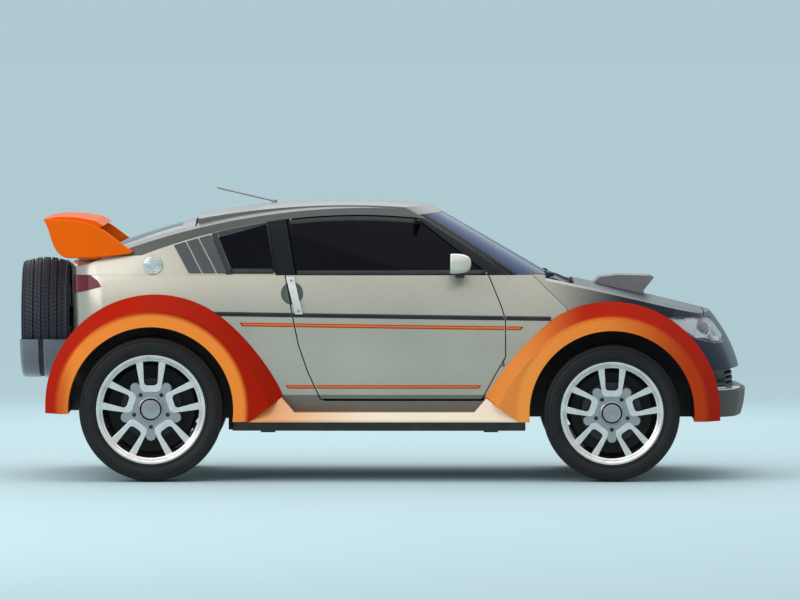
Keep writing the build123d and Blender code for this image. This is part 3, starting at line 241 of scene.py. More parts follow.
def plastic(name, colour, grain=500.0, gloss=0.45, film=0.25, edge=0.003, scuff=0.12, shine=0.5):
    values = {"Colour": rgb(*colour), "Grain": grain, "Gloss": gloss, "Film": film, "Scuff": scuff}
    return surface(name, MOULDED_GRAIN, values, {"Specular IOR Level": shine}, GRAIN_DEPTH, edge)


def rubber(name, colour):
    return plastic(name, colour, grain=900.0, gloss=0.46, film=0.03, edge=0.0, scuff=0.03, shine=0.28)


def metal(name, colour, gloss=0.28, film=0.15, edge=0.0025):
    values = {"Colour": rgb(*colour), "Gloss": gloss, "Film": film}
    return surface(name, CAST_METAL, values, {"Metallic": 1.0}, CAST_DEPTH, edge)


def recolour(finish, factor, second):
    """Mixes a second colour into a material where factor, built by the caller, says so."""
    tree = finish.node_tree
    shader = tree.nodes["Principled BSDF"]
    first = shader.inputs["Base Color"].links[0].from_socket
    put(tree, mix_colours(tree, factor, first, rgb(*second)), shader.inputs["Base Color"])
    return finish


def axis_of(finish, axis):
    """One coordinate of the surface point, in the shared frame."""
    tree = finish.node_tree
    return add_node(tree, "SeparateXYZ", {0: object_place(tree)}).outputs[axis]


def glass(name, colour, through, film=0.02, bend=1.5):
    """Tinted glass with a faint wiped film."""
    finish, tree, shader = new_material(name)
    shader.inputs["IOR"].default_value = bend
    shader.inputs["Transmission Weight"].default_value = through
    smear = ramp(tree, noise(tree, object_place(tree), 3.0, 4.0), 0.35, 0.8, 0.0, film)
    put(tree, mix_colours(tree, smear, rgb(*colour), rgb(0.5, 0.52, 0.55)), shader.inputs["Base Color"])
    put(tree, plus(tree, times(tree, smear, 1.5), 0.02), shader.inputs["Roughness"])
    return finish


BODY_TONES = ((0.455, 0.41, 0.33), (0.68, 0.63, 0.535))
HANDLE_CENTRE = (-0.503, 1.04)


def radial_distance(finish, centre):
    """Distance in side view from a point given as (x, z)."""
    tree = finish.node_tree
    along = maths(tree, "SUBTRACT", axis_of(finish, "X"), centre[0])
    up = maths(tree, "SUBTRACT", axis_of(finish, "Z"), centre[1])
    squares = plus(tree, times(tree, along, along), times(tree, up, up))
    return maths(tree, "SQRT", squares)


def body_paint_finish():
    """Warm silver, with painted shade in the finger dish behind the door handle and a painted shadow band
    along the bottom edge.
    """
    finish = paint("body_paint", *BODY_TONES, metal=0.6)
    tree = finish.node_tree
    # Painted shade: the finger dish behind the door handle is darkened where it lies deep
    near = ramp(tree, radial_distance(finish, HANDLE_CENTRE), 0.066, 0.061)
    deep = ramp(tree, maths(tree, "ABSOLUTE", axis_of(finish, "Y")), 0.804, 0.79)
    recolour(finish, times(tree, times(tree, near, deep), 0.75), (0.05, 0.05, 0.048))
    # Painted shadow: a dark band below z 0.479 along the bottom of the body, where it tucks under
    return recolour(finish, ramp(tree, axis_of(finish, "Z"), 0.482, 0.476, 0.0, 0.75), (0.045, 0.042, 0.035))


def screen_glass_finish():
    """Blue-tinted windscreen with a black fired border along its sides."""
    finish = glass("screen_glass", (0.06, 0.15, 0.36), 0.78, film=0.004, bend=1.07)
    tree = finish.node_tree
    edge = ramp(tree, axis_of(finish, "Z"), 1.0, 1.478, 0.648, 0.463)
    edge.node.interpolation_type = "LINEAR"
    inside = maths(tree, "SUBTRACT", edge, maths(tree, "ABSOLUTE", axis_of(finish, "Y")))
    return recolour(finish, ramp(tree, inside, 0.05, 0.042), (0.004, 0.005, 0.01))


def fender_fade_paint():
    """Silver at the door, running into slate towards the nose."""
    finish = paint("fender_fade_paint", *BODY_TONES, metal=0.12, coat=0.05, shine=0.1)
    along = ramp(finish.node_tree, axis_of(finish, "X"), 0.8, 1.38)
    return recolour(finish, along, (0.02, 0.024, 0.034))


def flare_paint():
    """Red-orange, with a golden lip band that is partly the lip's own lighter tone and partly painted
    highlight fading towards the nose and the tail end, and a golden painted highlight on the front flare's
    rear part.
    """
    finish = satin("flare_paint", (0.42, 0.01, 0.0), (0.48, 0.016, 0.0), gloss=0.45, coat=0.0, shine=0.04)
    tree = finish.node_tree
    along = axis_of(finish, "X")
    # Golden lip band: partly the lip's own lighter tone, partly painted highlight; its fade towards the nose
    # and tail end is painted light
    for wheel, faded_x, full_x in ((FRONT_WHEEL, 1.72, 1.12), (REAR_WHEEL, -1.83, -1.69)):
        reach = radial_distance(finish, (wheel["x"], wheel["radius"]))
        band = ramp(tree, reach, FLARE_LIP_REACH + 0.03, FLARE_LIP_REACH - 0.004)
        shown = times(tree, band, ramp(tree, along, faded_x, full_x, 0.12, 0.9))
        recolour(finish, shown, (0.98, 0.28, 0.042))
    # Painted highlight: golden light on the front flare's rear part
    front_flare_highlight = times(tree, ramp(tree, along, 1.15, 0.7), ramp(tree, along, 0.2, 0.4))
    return recolour(finish, times(tree, front_flare_highlight, 0.75), (0.95, 0.33, 0.065))


def step_paint():
    """Cream, with orange painted shading towards its rear end."""
    finish = paint("step_paint", (0.97, 0.75, 0.56), (0.99, 0.87, 0.73), metal=0.0, film=0.0, coat=0.3)
    # Painted shading: an orange tint towards the rear end
    along = ramp(finish.node_tree, axis_of(finish, "X"), 0.1, -0.75)
    return recolour(finish, along, (0.8, 0.3, 0.08))


def rim_alloy(name, axis, edge_place):
    """Bright machined face over darker painted pockets."""
    finish = metal(name, (0.88, 0.82, 0.78), gloss=0.24, film=0.03, edge=0.004)
    tree = finish.node_tree
    depth = maths(tree, "ABSOLUTE", axis_of(finish, axis))
    return recolour(finish, ramp(tree, depth, edge_place + 0.004, edge_place - 0.004), (0.4, 0.39, 0.4))


def seat_cloth_finish():
    """Woven cloth on the seats."""
    finish, tree, shader = new_material("seat_cloth_finish")
    place = object_place(tree)
    threads = [
        add_node(tree, "TexWave", {"Vector": place, "Scale": 160.0, "Distortion": 1.0}, bands_direction=axis)
        for axis in ("Y", "DIAGONAL")
    ]
    weave = times(tree, threads[0].outputs["Fac"], threads[1].outputs["Fac"])
    cloth = mix_colours(tree, weave, rgb(0.03, 0.03, 0.034), rgb(0.11, 0.11, 0.12))
    put(tree, cloth, shader.inputs["Base Color"])
    put(tree, ramp(tree, weave, 0.0, 1.0, 0.95, 0.75), shader.inputs["Roughness"])
    shader.inputs["Sheen Weight"].default_value = 0.3
    relief = add_node(tree, "Bump", {"Height": weave, "Distance": 0.0006})
    put(tree, relief.outputs["Normal"], shader.inputs["Normal"])
    return finish


body_paint = body_paint_finish()
# Painted shade: the roof rails are the body's silver in shade, painted dark grey
rail_shade_paint = satin("rail_shade_paint", (0.09, 0.088, 0.083), (0.17, 0.168, 0.16), metal=0.1)
roof_paint = satin("roof_paint", (0.16, 0.16, 0.155), (0.29, 0.29, 0.28), metal=0.1)
slate_paint = paint(
    "slate_paint", (0.02, 0.025, 0.04), (0.055, 0.066, 0.1), metal=0.0, coat=0.06, shine=0.12
)
fender_paint = fender_fade_paint()
flare_red = flare_paint()
step_cream = step_paint()
wing_orange = satin(
    "wing_orange", (0.84, 0.115, 0.001), (0.92, 0.17, 0.006), gloss=0.45, coat=0.0, shine=0.05
)
cradle_grey = paint("cradle_grey", (0.17, 0.165, 0.19), (0.32, 0.31, 0.35))
pillar_black = satin("pillar_black", (0.005, 0.006, 0.009), (0.01, 0.012, 0.018), coat=0.08, shine=0.12)
stripe_red = satin("stripe_red", (0.46, 0.022, 0.002), (0.6, 0.06, 0.01))
stripe_orange = satin("stripe_orange", (0.92, 0.2, 0.02), (1.0, 0.34, 0.06))
trim_black = plastic("trim_black", (0.012, 0.012, 0.013))
louvre_grey = plastic("louvre_grey", (0.05, 0.052, 0.055), gloss=0.4, film=0.0)
lip_brown = plastic("lip_brown", (0.045, 0.04, 0.034), film=0.3)
scoop_grey = plastic("scoop_grey", (0.19, 0.185, 0.18), grain=260.0, gloss=0.38, film=0.0)
soft_trim = plastic("soft_trim", (0.02, 0.02, 0.022), grain=380.0, gloss=0.6, film=0.0)
tyre_rubber = rubber("tyre_rubber", (0.0065, 0.0065, 0.0075))
# Painted sheen: the spare's tyre is a lighter, bluer copy of the tyre rubber
spare_sheen_rubber = rubber("spare_sheen_rubber", (0.036, 0.037, 0.05))
seal_rubber = plastic("seal_rubber", (0.008, 0.009, 0.012), grain=900.0, gloss=0.42, film=0.0, edge=0.0)
road_rim = rim_alloy("road_rim", "Y", WHEEL_FACE_Y)
spare_rim_alloy = rim_alloy("spare_rim_alloy", "X", SPARE_FACE_X)
bright_metal = metal("bright_metal", (0.82, 0.82, 0.8), gloss=0.18)
dark_iron = metal("dark_iron", (0.03, 0.03, 0.032), gloss=0.55)
cap_grey = metal("cap_grey", (0.42, 0.41, 0.42), gloss=0.22, film=0.0)
disc_iron = metal("disc_iron", (0.06, 0.06, 0.062), gloss=0.4, film=0.0)
chrome = metal("chrome", (0.9, 0.91, 0.92), gloss=0.05, film=0.0)
mast_grey = metal("mast_grey", (0.42, 0.42, 0.43), gloss=0.4, film=0.0, edge=0.0)
side_glass = glass("side_glass", (0.005, 0.005, 0.011), 0.45, film=0.002, bend=1.17)
screen_glass = screen_glass_finish()
lens_clear = glass("lens_clear", (0.96, 0.97, 1.0), 0.97, film=0.01)
lens_red = glass("lens_red", (0.2, 0.016, 0.032), 0.35, film=0.0, bend=1.35)
dark_lens = glass("dark_lens", (0.03, 0.035, 0.045), 0.2)
lamp_bowl = metal("lamp_bowl", (0.55, 0.56, 0.58), gloss=0.15, film=0.0)
lamp_pale = paint("lamp_pale", (0.74, 0.73, 0.7), (0.86, 0.86, 0.83), metal=0.1, film=0.0)
# Painted highlight: the mirror head is a lighter copy of the body's silver
mirror_lit_silver = paint("mirror_lit_silver", (0.6, 0.565, 0.49), (0.74, 0.71, 0.64), metal=0.3, film=0.0)
seat_cloth = seat_cloth_finish()

NODE_FINISHES = (
    (body_paint, "sills rear_quarter_right rear_quarter_left front_posts tail_panel door_shell_right"
                 " door_shell_left door_mirror_right door_mirror_left"),
    (rail_shade_paint, "roof_rails"),
    (roof_paint, "roof_panel tailgate_shell"),
    (slate_paint, "bonnet_panel nose_panel"),
    (fender_paint, "front_fenders"),
    (flare_red, "front_flares rear_flares"),
    (step_cream, "side_steps"),
    (wing_orange, "rear_wing"),
    (cradle_grey, "spare_cradle"),
    (pillar_black, "front_pillars middle_pillars"),
    (trim_black, "floor_pan firewall front_grille front_liners rear_liners"),
    (mast_grey, "antenna"),
    (louvre_grey, "side_louvres"),
    (lip_brown, "front_lip"),
    (scoop_grey, "bonnet_scoop"),
    (soft_trim, "dashboard steering_wheel"),
    (road_rim, "front_rim_right front_rim_left rear_rim_right rear_rim_left"),
    (spare_rim_alloy, "spare_rim"),
    (bright_metal, "door_handle_right door_handle_left fuel_cap"),
    (dark_iron, "engine_block front_suspension rear_axle knuckle_right knuckle_left"),
    (side_glass, "quarter_glass door_glass_right door_glass_left tailgate_glass"),
    (screen_glass, "windscreen"),
    (lens_clear, "headlamps"),
    (lens_red, "tail_lamps"),
    (tyre_rubber, "front_tyre_right front_tyre_left rear_tyre_right rear_tyre_left spare_tyre"),
    (seat_cloth, "seats"),
)
for finish, names in NODE_FINISHES:
    for name in names.split():
        nodes[name].data.materials.clear()
        nodes[name].data.materials.append(finish)


# Making of pieces
def new_object(name, data):
    """An object in the scene, at the origin."""
    made = bpy.data.objects.new(name, data)
    bpy.context.scene.collection.objects.link(made)
    return made


def mesh_object(bm, name, finish):
    """An object made of a bmesh, with one material."""
    mesh = bpy.data.meshes.new(name)
    bm.to_mesh(mesh)
    bm.free()
    mesh.materials.append(finish)
    return new_object(name, mesh)


def piece(bm, name, finish, slot, body="chassis", sharp=35.0):
    """A bmesh made an object that rides on a body."""
    bmesh.ops.remove_doubles(bm, verts=bm.verts, dist=1e-6)
    if all(edge.is_manifold for edge in bm.edges):
        bmesh.ops.recalc_face_normals(bm, faces=bm.faces)
    made = mesh_object(bm, name, finish)
    made.data.shade_smooth()
    made.data.set_sharp_from_angle(angle=math.radians(sharp))
    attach(made, body)
    return made


def pair(build, name, finish, slot, body="chassis", sharp=35.0):
    """A right-hand bmesh and its mirror image; body may name its side with {side}."""
    made = []
    for side, sign in SIDES:
        bm = build()
        if sign > 0:
            bmesh.ops.scale(bm, vec=(1, -1, 1), verts=bm.verts)
            bmesh.ops.reverse_faces(bm, faces=bm.faces)
        made.append(piece(bm, f"{name}_{side}", finish, slot, body.format(side=side), sharp))
    return made


def single(build, name, finish, slot):
    """A piece that isn't mirrored, called as pair is."""
    return piece(build(), name, finish, slot)


def solid(*names):
    """A copy of CAD nodes."""
    bm = bmesh.new()
    for name in names:
        bm.from_mesh(nodes[name].data)
    return bm


def skin_of(*names):
    """Ray target made of CAD nodes."""
    bm = solid(*names)
    target = BVHTree.FromBMesh(bm)
    bm.free()
    return target


def flank_y(target, x, z):
    """Half-width place of the right flank at a point in side view."""
    hit = target.ray_cast(Vector((x, -1.5, z)), Vector((0, 1, 0)))[0]
    if hit is None:
        hit = target.find_nearest(Vector((x, -0.8, z)))[0]
    return hit.y


def crowned(across, proud):
    """Height of a crowned section at a place from -0.5 to 0.5 across it."""
    return proud * (1.0 - (2.0 * across) ** 4)


def sheet(columns, rows, place, thickness):
    """A thick sheet from a grid: place turns -0.5 to 0.5 along and across into a point."""
    bm = bmesh.new()
    bmesh.ops.create_grid(bm, x_segments=columns, y_segments=rows, size=0.5)
    for vert in bm.verts:
        vert.co = place(vert.co.x, vert.co.y)
    bmesh.ops.solidify(bm, geom=bm.faces[:], thickness=thickness)
    return bm


def flank_band(target, ends, low, high, proud, slants=(0.0, 0.0)):
    """Crowned band on the right flank between two heights given as functions of x; slants lean its ends."""
    def place(along, across):
        x = ends[0] + (along + 0.5) * (ends[1] - ends[0])
        z = low(x) + (across + 0.5) * (high(x) - low(x))
        lean = slants[0] + (along + 0.5) * (slants[1] - slants[0])
        x += lean * across * (high(x) - low(x))
        return x, flank_y(target, x, z) - crowned(across, proud), z

    return sheet(40, 6, place, 0.003)


def line_between(start, end):
    """Height along a straight side-view line, as a function of x."""
    slope = (end[1] - start[1]) / (end[0] - start[0])
    return lambda x: start[1] + (x - start[0]) * slope


def raised(line, by):
    """A side-view line moved up."""
    return lambda x: line(x) + by


def rail_edge(x):
    """Lower edge of the roof rail in side view."""
    along = x - RAIL_EDGE_TOP[0]
    return RAIL_EDGE_TOP[1] - RAIL_EDGE_RADIUS + math.sqrt(RAIL_EDGE_RADIUS**2 - along**2)


def closed(bm):
    """Fills the openings that a spin or a cut leaves."""
    bmesh.ops.remove_doubles(bm, verts=bm.verts, dist=1e-6)
    bmesh.ops.holes_fill(bm, edges=[edge for edge in bm.edges if edge.is_boundary], sides=0)
    return bm


def cut(bm, place, normal):
    """Takes away what lies beyond a plane."""
    whole = bm.verts[:] + bm.edges[:] + bm.faces[:]
    bmesh.ops.bisect_plane(bm, geom=whole, plane_co=place, plane_no=normal, clear_outer=True)
    return bm


def rotated(bm, matrix):
    bmesh.ops.rotate(bm, cent=(0, 0, 0), matrix=matrix, verts=bm.verts)
    return bm


def moved(bm, place):
    bmesh.ops.translate(bm, vec=place, verts=bm.verts)
    return bm


def spun(points, axis, steps):
    """A line of points spun about an axis through the origin, with its ends closed."""
    bm = bmesh.new()
    verts = [bm.verts.new(point) for point in points]
    edges = [bm.edges.new(ends) for ends in zip(verts, verts[1:])]
    bmesh.ops.spin(
        bm, geom=verts + edges, cent=(0, 0, 0), axis=axis, angle=2.0 * math.pi, steps=steps, use_merge=True
    )
    return closed(bm)


def turned(profile, steps, axis="Y"):
    """A profile of (along, radius) points spun about an axle through the origin."""
    bm = spun([(0.0, along, radius) for along, radius in profile], (0, 1, 0), steps)
    return rotated(bm, Matrix.Rotation(-math.pi / 2, 3, "Z")) if axis == "X" else bm


def turned_up(profile, steps=48):
    """A profile of (radius, height) points spun about +Z."""
    return spun([(radius, 0.0, height) for radius, height in profile], (0, 0, 1), steps)


def facing(bm, place, direction):
    """A form modelled about +Z, turned to face a direction and moved to a place."""
    turn = Vector((0, 0, 1)).rotation_difference(Vector(direction)).to_matrix()
    return moved(rotated(bm, turn), place)


def round_pair(profile, place, direction, name, finish, slot, body="chassis", steps=48):
    """A round piece that faces a direction, and its mirror image."""
    pair(lambda: facing(turned_up(profile, steps), place, direction), name, finish, slot, body)


def rounded_box(low, high, edge, segments=3):
    """Box between two corners with rounded edges."""
    bm = bmesh.new()
    bmesh.ops.create_cube(bm, size=1.0)
    bmesh.ops.scale(bm, vec=[b - a for a, b in zip(low, high)], verts=bm.verts)
    moved(bm, [(a + b) / 2 for a, b in zip(low, high)])
    bmesh.ops.bevel(
        bm, geom=bm.edges[:], offset=edge, segments=segments, profile=0.5, affect="EDGES", material=-1
    )
    return bm


# Tyres
TREAD_STEPS = 84
TREAD_TWIST = 1.2
BLOCK_HEIGHT = 0.005
BLOCK_TAPER = 0.0022
GROOVE_DEPTH = 0.009
# Start and end of each rib, as shares of the tread's half width
TREAD_RIBS = ((0.0, 0.17), (0.25, 0.57), (0.65, 1.0))
# Columns: distance inside the widest place, height above the rim's lip, in metres and then as a share
BEAD = ((0.026, -0.004), (0.012, 0.004), (0.008, 0.01), (0.012, 0.014))
SIDEWALL = (
    (0.004, 0.34), (0.001, 0.48), (0.003, 0.56), (0.001, 0.59), (0.004, 0.62), (0.008, 0.74), (0.006, 0.77),
    (0.01, 0.8), (0.015, 0.9),
)


def crown(wheel, along):
    """Radius of the tread's floor at a distance from its middle."""
    share = along / (wheel["width"] / 2 - wheel["inset"])
    return wheel["radius"] - BLOCK_HEIGHT - wheel["drop"] * share**2


def tyre_profile(wheel):
    """Half section from the bead to the middle of the tread: (along, radius)."""
    half, lip = wheel["width"] / 2, wheel["lip"]
    wall = wheel["radius"] - lip - wheel["drop"] + 0.006
    tread_half = half - wheel["inset"]
    profile = [(half - inside, lip + height) for inside, height in BEAD]
    profile += [(half - inside, lip + share * wall) for inside, share in SIDEWALL]
    for start, end in reversed(TREAD_RIBS):
        for share in (end, (start + end) / 2, start):
            profile.append((share * tread_half, crown(wheel, share * tread_half)))
        if start:
            groove = crown(wheel, start * tread_half) - GROOVE_DEPTH
            profile += [((start - 0.01) * tread_half, groove), ((start - 0.07) * tread_half, groove)]
    return profile


def tyre_mesh(wheel, axis="Y"):
    """Road tyre with grooved ribs and raised tread blocks."""
    half = tyre_profile(wheel)
    profile = half + [(-along, radius) for along, radius in reversed(half[:-1])]
    profile.append(profile[0])
    bm = turned(profile, TREAD_STEPS)
    blocks = []
    for face in bm.faces:
        middle = face.calc_center_median()
        radial = Vector((middle.x, 0, middle.z))
        on_rib = radial.length > crown(wheel, middle.y) - 0.003
        if on_rib and abs(face.normal.dot(radial.normalized())) > 0.85:
            blocks.append(face)
    bmesh.ops.recalc_face_normals(bm, faces=bm.faces)
    bmesh.ops.inset_individual(bm, faces=blocks, thickness=BLOCK_TAPER, depth=BLOCK_HEIGHT)
    for vert in bm.verts:
        vert.co = Matrix.Rotation(TREAD_TWIST * abs(vert.co.y), 3, "Y") @ vert.co
    return rotated(bm, Matrix.Rotation(math.pi / 2, 3, "Z")) if axis == "X" else bm


def wheel_centre(wheel):
    return (wheel["x"], wheel["y"], wheel["radius"])


for wheel, where in ((FRONT_WHEEL, "front"), (REAR_WHEEL, "rear")):
    tyres = pair(
        lambda: moved(tyre_mesh(wheel), wheel_centre(wheel)),
        f"{where}_tread_tyre", tyre_rubber, "tyre_rubber", f"wheel_{where}_{{side}}",
    )
    for (side, _), tyre in zip(SIDES, tyres):
        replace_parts(tyre, f"{where}_tyre_{side}")
spare = piece(
    moved(tyre_mesh(SPARE_WHEEL, "X"), SPARE_PLACE),
    "spare_tread_tyre", spare_sheen_rubber, "tyre_rubber",
)
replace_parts(spare, "spare_tyre")


# Guard under the spare wheel: two rounded shells, a web in the slot between them coloured black as painted
# shade, arms, and the carrier
GUARD_TOP = 0.769
# Columns: distance behind the axle plane of the spare, radius
GUARD_REAR = [
    (0.036, 0.3348), (0.036, 0.3435), (0.04, 0.3466), (0.118, 0.3466), (0.129, 0.344), (0.137, 0.337),
    (0.1422, 0.3265), (0.143, 0.315), (0.143, 0.26), (0.1415, 0.2562), (0.139, 0.257), (0.1384, 0.262),
    (0.1384, 0.305), (0.135, 0.318), (0.126, 0.33), (0.114, 0.3348), (0.036, 0.3348),
]
GUARD_FRONT = [
    (-0.132, 0.3348), (-0.132, 0.342), (-0.128, 0.3466), (0.006, 0.3466), (0.01, 0.3435), (0.01, 0.3348),
    (-0.132, 0.3348),
]
GUARD_WEB = [(-0.012, 0.3348), (-0.012, 0.3386), (0.058, 0.3386), (0.058, 0.3348), (-0.012, 0.3348)]


def guard_shell(profile):
    """Lower part of a ring about the spare's axle."""
    bm = turned([(-behind, radius) for behind, radius in profile], 96, "X")
    return closed(cut(moved(bm, SPARE_PLACE), (0, 0, GUARD_TOP), (0, 0, 1)))


def spare_carrier():
    """The boss that carries the spare, from the solid cradle."""
    bm = solid("spare_cradle")
    below = [face for face in bm.faces if face.calc_center_median().z < GUARD_TOP + 0.02]
    bmesh.ops.delete(bm, geom=below, context="FACES")
    return bm


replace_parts(piece(guard_shell(GUARD_REAR), "guard_rear", cradle_grey, "cradle_grey"), "spare_cradle")
piece(guard_shell(GUARD_FRONT), "guard_front", cradle_grey, "cradle_grey")
# The web is black as painted shade in the slot between the shells
piece(guard_shell(GUARD_WEB), "guard_web", trim_black, "trim_black")
piece(spare_carrier(), "spare_carrier", dark_iron, "dark_steel")
pair(
    lambda: rounded_box((-1.785, -0.18, 0.548), (-1.705, -0.12, 0.582), 0.006),
    "guard_arm", dark_iron, "dark_steel",
)


# Hub caps, bolts, brake discs and their shields
CAP_SETBACK = 0.034
BOLT_SETBACK = 0.05
BOLT_CIRCLE = 0.092
# Columns: distance outside the cap's seat, radius on the front wheel
CAP_SECTION = (
    (-0.004, 0.067), (0.003, 0.066), (0.006, 0.062), (0.006, 0.058), (0.0, 0.056), (0.0, 0.052),
    (0.007, 0.049), (0.01, 0.03),
)


def cap_mesh(wheel, scale):
    """Blank cap with a ring groove, standing on the hub's face."""
    seat = -(wheel["width"] / 2 - CAP_SETBACK)
    profile = [(seat - outside, radius * scale) for outside, radius in CAP_SECTION]
    profile.append((seat - 0.011, 0.0005))
    return moved(turned(profile, 48), wheel_centre(wheel))


def bolts_mesh(wheel, scale):
    """Five bolt heads round the cap, in the star's lobes."""
    bm = bmesh.new()
    reach = BOLT_CIRCLE * scale
    for index in range(5):
        angle = math.radians(126.0 + 72.0 * index)
        place = (reach * math.cos(angle), BOLT_SETBACK - wheel["width"] / 2, reach * math.sin(angle))
        turn = Matrix.Translation(place) @ Matrix.Rotation(math.pi / 2, 4, "X")
        bmesh.ops.create_cone(
            bm, cap_ends=True, segments=6, radius1=0.013, radius2=0.011, depth=0.014, matrix=turn
        )
    return moved(bm, wheel_centre(wheel))


def ring_on_axle(wheel, profile):
    """A ring from (half-width place, radius) points."""
    bm = turned([(-along - wheel["y"], radius) for along, radius in profile], 64)
    return moved(bm, wheel_centre(wheel))


def disc_mesh(wheel, inner, outer):
    """Vented brake disc with its bell, between two half-width places."""
    vent_inner = inner + 0.35 * (outer - inner)
    vent_outer = inner + 0.65 * (outer - inner)
    return ring_on_axle(wheel, [
        (inner, 0.07), (inner, 0.168), (vent_inner, 0.168), (vent_inner, 0.16), (vent_outer, 0.16),
        (vent_outer, 0.168), (outer, 0.168), (outer, 0.078), (outer - 0.006, 0.07), (inner, 0.07),
    ])


def shield_mesh(wheel, inner, radius):
    """Dished dust shield behind the brake disc."""
    return ring_on_axle(wheel, [
        (inner, 0.06), (inner, radius - 0.012), (inner + 0.014, radius - 0.002), (inner + 0.014, radius),
        (inner - 0.003, radius - 0.008), (inner - 0.003, 0.06), (inner, 0.06),
    ])


# Columns: place, wheel, half-width places of the disc's faces
WHEEL_DRESS = (("front", FRONT_WHEEL, 0.773, 0.791), ("rear", REAR_WHEEL, 0.724, 0.742))
for where, wheel, *faces in WHEEL_DRESS:
    body = f"wheel_{where}_{{side}}"
    scale = wheel["lip"] / FRONT_WHEEL["lip"]
    pair(lambda: cap_mesh(wheel, scale), f"{where}_hub_cap", cap_grey, "rim_silver", body)
    pair(lambda: bolts_mesh(wheel, scale), f"{where}_wheel_bolts", dark_iron, "dark_steel", body)
    pair(lambda: disc_mesh(wheel, *faces), f"{where}_brake_disc", disc_iron, "dark_steel", body)
# Columns: place, wheel, body, half-width place, radius
SHIELDS = (
    ("front", FRONT_WHEEL, "knuckle_{side}", 0.746, 0.238), ("rear", REAR_WHEEL, "chassis", 0.698, 0.252),
)
for where, wheel, body, inner, radius in SHIELDS:
    pair(lambda: shield_mesh(wheel, inner, radius), f"{where}_dust_shield", dark_iron, "dark_steel", body)

# Flank mouldings and stripes: one row per band, split where the door shuts
door_skin = skin_of("door_shell_right")
quarter_skin = skin_of("rear_quarter_right")
post_skin = skin_of("front_posts")
belt_line = line_between((0.0, BELT_Z), (1.0, BELT_Z))
moulding = line_between((-0.935, 0.929), (0.9, 0.9025))
upper_stripe = line_between((-0.785, 0.871), (0.769, 0.849))
lower_stripe = line_between((-0.531, 0.525), (0.536, 0.525))
# Spans of a band: what it lies on, its body, from x, to x, lean of its two ends
QUARTER, DOOR, POST = (quarter_skin, "chassis"), (door_skin, "door_{side}"), (post_skin, "chassis")
MOULDING_SPANS = (
    (*QUARTER, -0.935, -0.507, (0.0, -0.2)), (*DOOR, -0.497, 0.669, (-0.2, -0.3)),
    (*POST, 0.6815, 0.93, (-0.3, 0.0)),
)


def upper_run(rear_x, front_x):
    return (
        (*QUARTER, rear_x, -0.496, (-0.8, -0.2)), (*DOOR, -0.485, 0.6715, (-0.2, 0.0)),
        (*POST, 0.6835, front_x, (0.0, 0.8)),
    )


def lower_run(rear_x, front_x):
    return (*QUARTER, rear_x, -0.381, (-0.8, -0.5)), (*DOOR, -0.369, front_x, (-0.5, 0.8))


# Columns: name, centre line, half height, proud, finish, slot, spans
BANDS = (
    ("moulding", moulding, 0.011, 0.007, trim_black, "trim_black", MOULDING_SPANS),
    ("upper_stripe", upper_stripe, 0.009, 0.003, stripe_red, "flare_orange", upper_run(-0.785, 0.769)),
    ("upper_stripe_core", upper_stripe, 0.004, 0.005, stripe_orange, "wing_orange", upper_run(-0.778, 0.762)),
    ("lower_stripe", lower_stripe, 0.008, 0.003, stripe_red, "flare_orange", lower_run(-0.531, 0.536)),
    ("lower_stripe_core", lower_stripe, 0.0035, 0.005, stripe_orange, "wing_orange", lower_run(-0.525, 0.53)),
)
for name, middle, half, proud, finish, slot, spans in BANDS:
    low, high = raised(middle, -half), raised(middle, half)
    for index, (target, body, start, end, slants) in enumerate(spans):
        pair(
            lambda: flank_band(target, (start, end), low, high, proud, slants),
            f"{name}_{index}", finish, slot, body,
        )

# Window seals: belt line and under the roof rail
door_glass_skin = skin_of("door_glass_right")
quarter_glass_skin = skin_of("quarter_glass", "rear_quarter_right")
# Columns: name, what it lies on, body, ends, line, low and high edge above the line
SEALS = (
    ("door_belt_seal", door_glass_skin, "door_{side}", (-0.476, 0.572), belt_line, 0.0015, 0.026),
    ("door_head_seal", door_glass_skin, "door_{side}", (-0.52, 0.21), rail_edge, -0.032, -0.0075),
    ("quarter_belt_seal", quarter_glass_skin, "chassis", (-0.846, -0.606), belt_line, 0.01, 0.036),
)
for name, target, body, ends, line, low, high in SEALS:
    pair(
        lambda: flank_band(target, ends, raised(line, low), raised(line, high), 0.007),
        name, seal_rubber, "trim_black", body,
    )


def inner_y(target, x, z):
    """Half-width place of a right-hand wall's inner face."""
    hit = target.ray_cast(Vector((x, -0.3, z)), Vector((0, -1, 0)))[0]
    return hit.y if hit else -0.72


def flank_patch(target, corners, proud, steps=12, look=flank_y):
    """Four-cornered patch on the right flank; corners run round from the low rear one."""
    low_rear, low_front, high_front, high_rear = [Vector(corner) for corner in corners]

    def place(along, across):
        low = low_rear.lerp(low_front, along + 0.5)
        x, z = low.lerp(high_rear.lerp(high_front, along + 0.5), across + 0.5)
        return x, look(target, x, z) - proud, z

    return sheet(steps, steps, place, 0.004)


# Dark border of the quarter window
FRAME_PATCHES = {
    "quarter_frame": ((-0.872, 1.148), (-0.8335, 1.148), (-0.9168, 1.3535), (-0.949, 1.36)),
    "quarter_front": ((-0.603, 1.158), (-0.599, 1.158), (-0.6425, 1.4195), (-0.6494, 1.4195)),
    "quarter_corner": ((-0.95, 1.36), (-0.9165, 1.353), (-0.9135, 1.379), (-0.948, 1.3715)),
}
for name, corners in FRAME_PATCHES.items():
    pair(lambda: flank_patch(quarter_skin, corners, 0.002), name, seal_rubber, "trim_black")
quarter_head = line_between((-0.914, 1.3515), (-0.65, 1.4215))
pair(
    lambda: flank_band(quarter_skin, (-0.913, -0.6435), quarter_head, raised(rail_edge, -0.0015), 0.002),
    "quarter_head", seal_rubber, "trim_black",
)

